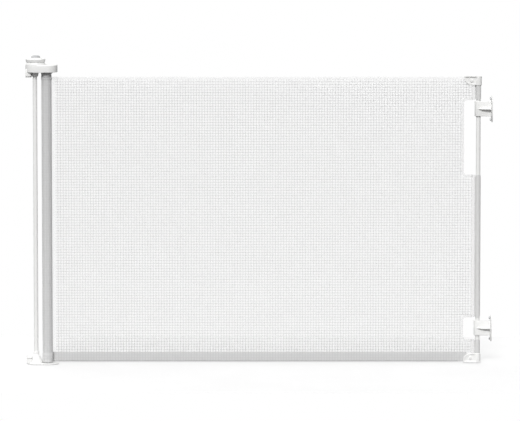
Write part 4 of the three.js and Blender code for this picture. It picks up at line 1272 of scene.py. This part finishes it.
def catch(name, looks):
    """A wall catch: an oval plate with an open hook for the bar and a rib under it."""
    low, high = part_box(f"{name}_catch")
    middle_y = (low.y + high.y) / 2
    middle_z = (low.z + high.z) / 2
    bar = centre("handle_bar")
    inner = half_width("handle_bar") + HOOK_GAP
    outer = inner + HOOK_WALL
    flange_left = high.x - FLANGE_THICKNESS
    lip_end = bar.y + HOOK_LIP
    hook = [
        Vector((flange_left + 0.0005, bar.y - outer)),
        Vector((flange_left + 0.0005, bar.y - inner)),
        *arc(bar.x, bar.y, inner, 270, -90, 16),
        Vector((bar.x - inner, lip_end - 0.0006)),
        Vector((bar.x - inner - 0.0006, lip_end)),
        Vector((bar.x - outer + 0.0006, lip_end)),
        Vector((bar.x - outer, lip_end - 0.0006)),
        *arc(bar.x, bar.y, outer, 180, 90, 16),
    ]
    depth = (high.y - low.y) / 2
    tall = (high.z - low.z) / 2
    oval = []
    for k in range(72):
        angle = 2 * math.pi * k / 72
        spread = math.cos(angle)
        rise = math.sin(angle)
        y = middle_y + depth * math.copysign(abs(spread) ** 0.75, spread)
        z = middle_z + tall * math.copysign(abs(rise) ** 0.85, rise)
        oval.append(Vector((y, z)))
    front = bar.y - outer
    rib = [
        Vector((bar.x - 0.004, front + 0.001)),
        Vector((bar.x + 0.006, front - 0.006)),
        Vector((bar.x + 0.014, front - 0.0095)),
        Vector((flange_left - 0.004, front - 0.0118)),
        Vector((flange_left + 0.0012, front - 0.013)),
        Vector((flange_left + 0.0012, front + 0.001)),
    ]
    foot, head = middle_z - HOOK_HALF_HEIGHT, middle_z + HOOK_HALF_HEIGHT
    piece = solid(
        f"{name}_catch_hook",
        slab(hook, foot, head, edge=0.0013),
        ("join", domed_plate(oval, Vector((middle_y, middle_z)), flange_left, high.x)),
        ("join", slab(rib, middle_z - RIB_HALF, middle_z + RIB_HALF, edge=0.0018)),
    )
    fitted(piece, "housing", looks["white_plastic"], "white_plastic", f"{name}_catch", smooth=50)


def domed_plate(outline, centre_point, front, back):
    """An oval wall plate: flat at the back, and crowned towards the front."""
    steps = [(0.9, 0.0), (0.97, 0.00015), (0.995, 0.0006)]  # (share of the outline, rise)
    for k in range(11):
        share = 1 - 0.96 * k / 10
        crown = FLANGE_RIM + (back - front - FLANGE_RIM) * (1 - share**2) ** 0.6
        steps.append((share, crown))
    rings = []
    for share, rise in steps:
        rings.append([(back - rise, *(centre_point + (p - centre_point) * share)) for p in outline])
    return skin(bmesh.new(), rings)


# ---- CAD nodes that stay ----


def finish_inner_nodes(looks):
    """The working pieces inside keep their CAD shape, with finer materials."""
    by_slot = {
        "white_plastic": looks["white_plastic"],
        "white_paint": looks["white_paint"],
        "mesh_fabric": looks["rolled"],
        "button_plastic": looks["button"],
        "steel": looks["steel"],
        "inner_plastic": looks["inner"],
    }
    for row in frame["record"]["subparts"]:
        for holder in frame["nodes"][row["node"]].material_slots:
            holder.material = by_slot[row["material_slot"]]
    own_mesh(frame["nodes"]["button_spring"])


# ---- Camera, light and floor ----


def add_camera():
    data = bpy.data.cameras.new("camera")
    data.lens = CAMERA_LENS
    data.sensor_width = CAMERA_SENSOR
    data.clip_start = 0.1
    data.clip_end = 60
    camera = bpy.data.objects.new("camera", data)
    plane = centre("mesh_panel").y
    camera.location = (
        CAMERA_SIDE,
        plane - CAMERA_DISTANCE * math.cos(CAMERA_PITCH),
        CAMERA_AIM_HEIGHT + CAMERA_DISTANCE * math.sin(CAMERA_PITCH),
    )
    camera.rotation_euler = (math.radians(90) - CAMERA_PITCH, 0, 0)
    bpy.context.scene.collection.objects.link(camera)
    bpy.context.scene.camera = camera


def add_sun(name, elevation, azimuth, strength, softness):
    """azimuth is where the light comes from: 0 from the front, 90 from the right."""
    data = bpy.data.lights.new(name, "SUN")
    data.energy = strength
    data.angle = math.radians(softness)
    light = bpy.data.objects.new(name, data)
    light.rotation_euler = (math.radians(90 - elevation), 0, math.radians(azimuth))
    bpy.context.scene.collection.objects.link(light)


def add_world():
    """A white surround that is brighter overhead and darker on the right."""
    world = bpy.data.worlds.new("studio")
    bpy.context.scene.world = world
    world.use_nodes = True
    tree = world.node_tree
    tree.nodes.clear()
    way = node(tree, "SeparateXYZ", {0: node(tree, "TexCoord").outputs["Generated"]})
    ramp = node(tree, "ValToRGB", {"Fac": ranged(tree, way.outputs["X"], -1, 1, 0, 1)})
    ramp.color_ramp.elements.new(0.5)
    for stop, share in zip(ramp.color_ramp.elements, SURROUND):
        stop.color = (share, share, share, 1)
    overhead = ranged(tree, way.outputs["Z"], 0, 1, *OVERHEAD)
    strength = maths(tree, "MULTIPLY", ramp.outputs["Color"], overhead)
    seen = node(tree, "LightPath").outputs["Is Camera Ray"]
    lit = node(tree, "Background", {"Color": (1, 1, 1, 1), "Strength": strength})
    white = node(tree, "Background", {"Color": (1, 1, 1, 1), "Strength": 1.0})
    mix = node(tree, "MixShader", {0: seen, 1: lit.outputs[0], 2: white.outputs[0]})
    output = node(tree, "OutputWorld")
    tree.links.new(mix.outputs[0], output.inputs["Surface"])


def add_floor():
    """Paper that looks white to the camera, but lights the gate less than white would."""
    shape = bmesh.new()
    wide, deep = FLOOR_HALF
    corners = rectangle(-wide, wide, -deep, deep)
    shape.faces.new([shape.verts.new((p.x, p.y, -FLOOR_DROP)) for p in corners])
    floor = new_object("studio_floor", shape)
    material, tree, surface, place = start_material("studio_floor_paper", Roughness=0.9)
    tone = ranged(tree, noise(tree, place, 3), 0.3, 0.7, 0, 1)
    paper = tinted(tree, tone, (0.32, 0.32, 0.32, 1), (0.34, 0.34, 0.34, 1))
    tree.links.new(paper, surface.inputs["Base Color"])
    seen = node(tree, "LightPath").outputs["Is Camera Ray"]
    surface.inputs["Emission Color"].default_value = (1, 1, 1, 1)
    glow = maths(tree, "MULTIPLY", seen, FLOOR_GLOW)
    tree.links.new(glow, surface.inputs["Emission Strength"])
    surface.inputs["Specular IOR Level"].default_value = 0.1
    floor.data.materials.append(material)


def build():
    add_camera()
    looks = make_materials()
    cap_shell(looks)
    cap_lid(looks)
    wall_bracket("top", looks, corner=0.004, groove=0.0014)
    wall_bracket("bottom", looks, corner=0.003, groove=0.012)
    post(looks)
    base(looks)
    screws(looks)
    dial(looks)
    button(looks)
    handle_bar(looks)
    corner_cap("bottom", 1, looks)
    corner_cap("top", -1, looks)
    for name in ("lower", "upper"):
        catch(name, looks)
    end_strip(looks)
    roll_head(looks)
    curtain(looks, roll(looks))
    finish_inner_nodes(looks)
    add_world()
    add_sun("key_light", **KEY_LIGHT)
    add_sun("fill_light", **FILL_LIGHT)
    add_floor()
    bpy.context.scene.view_settings.view_transform = "Standard"


build()
bpy.context.view_layer.update()
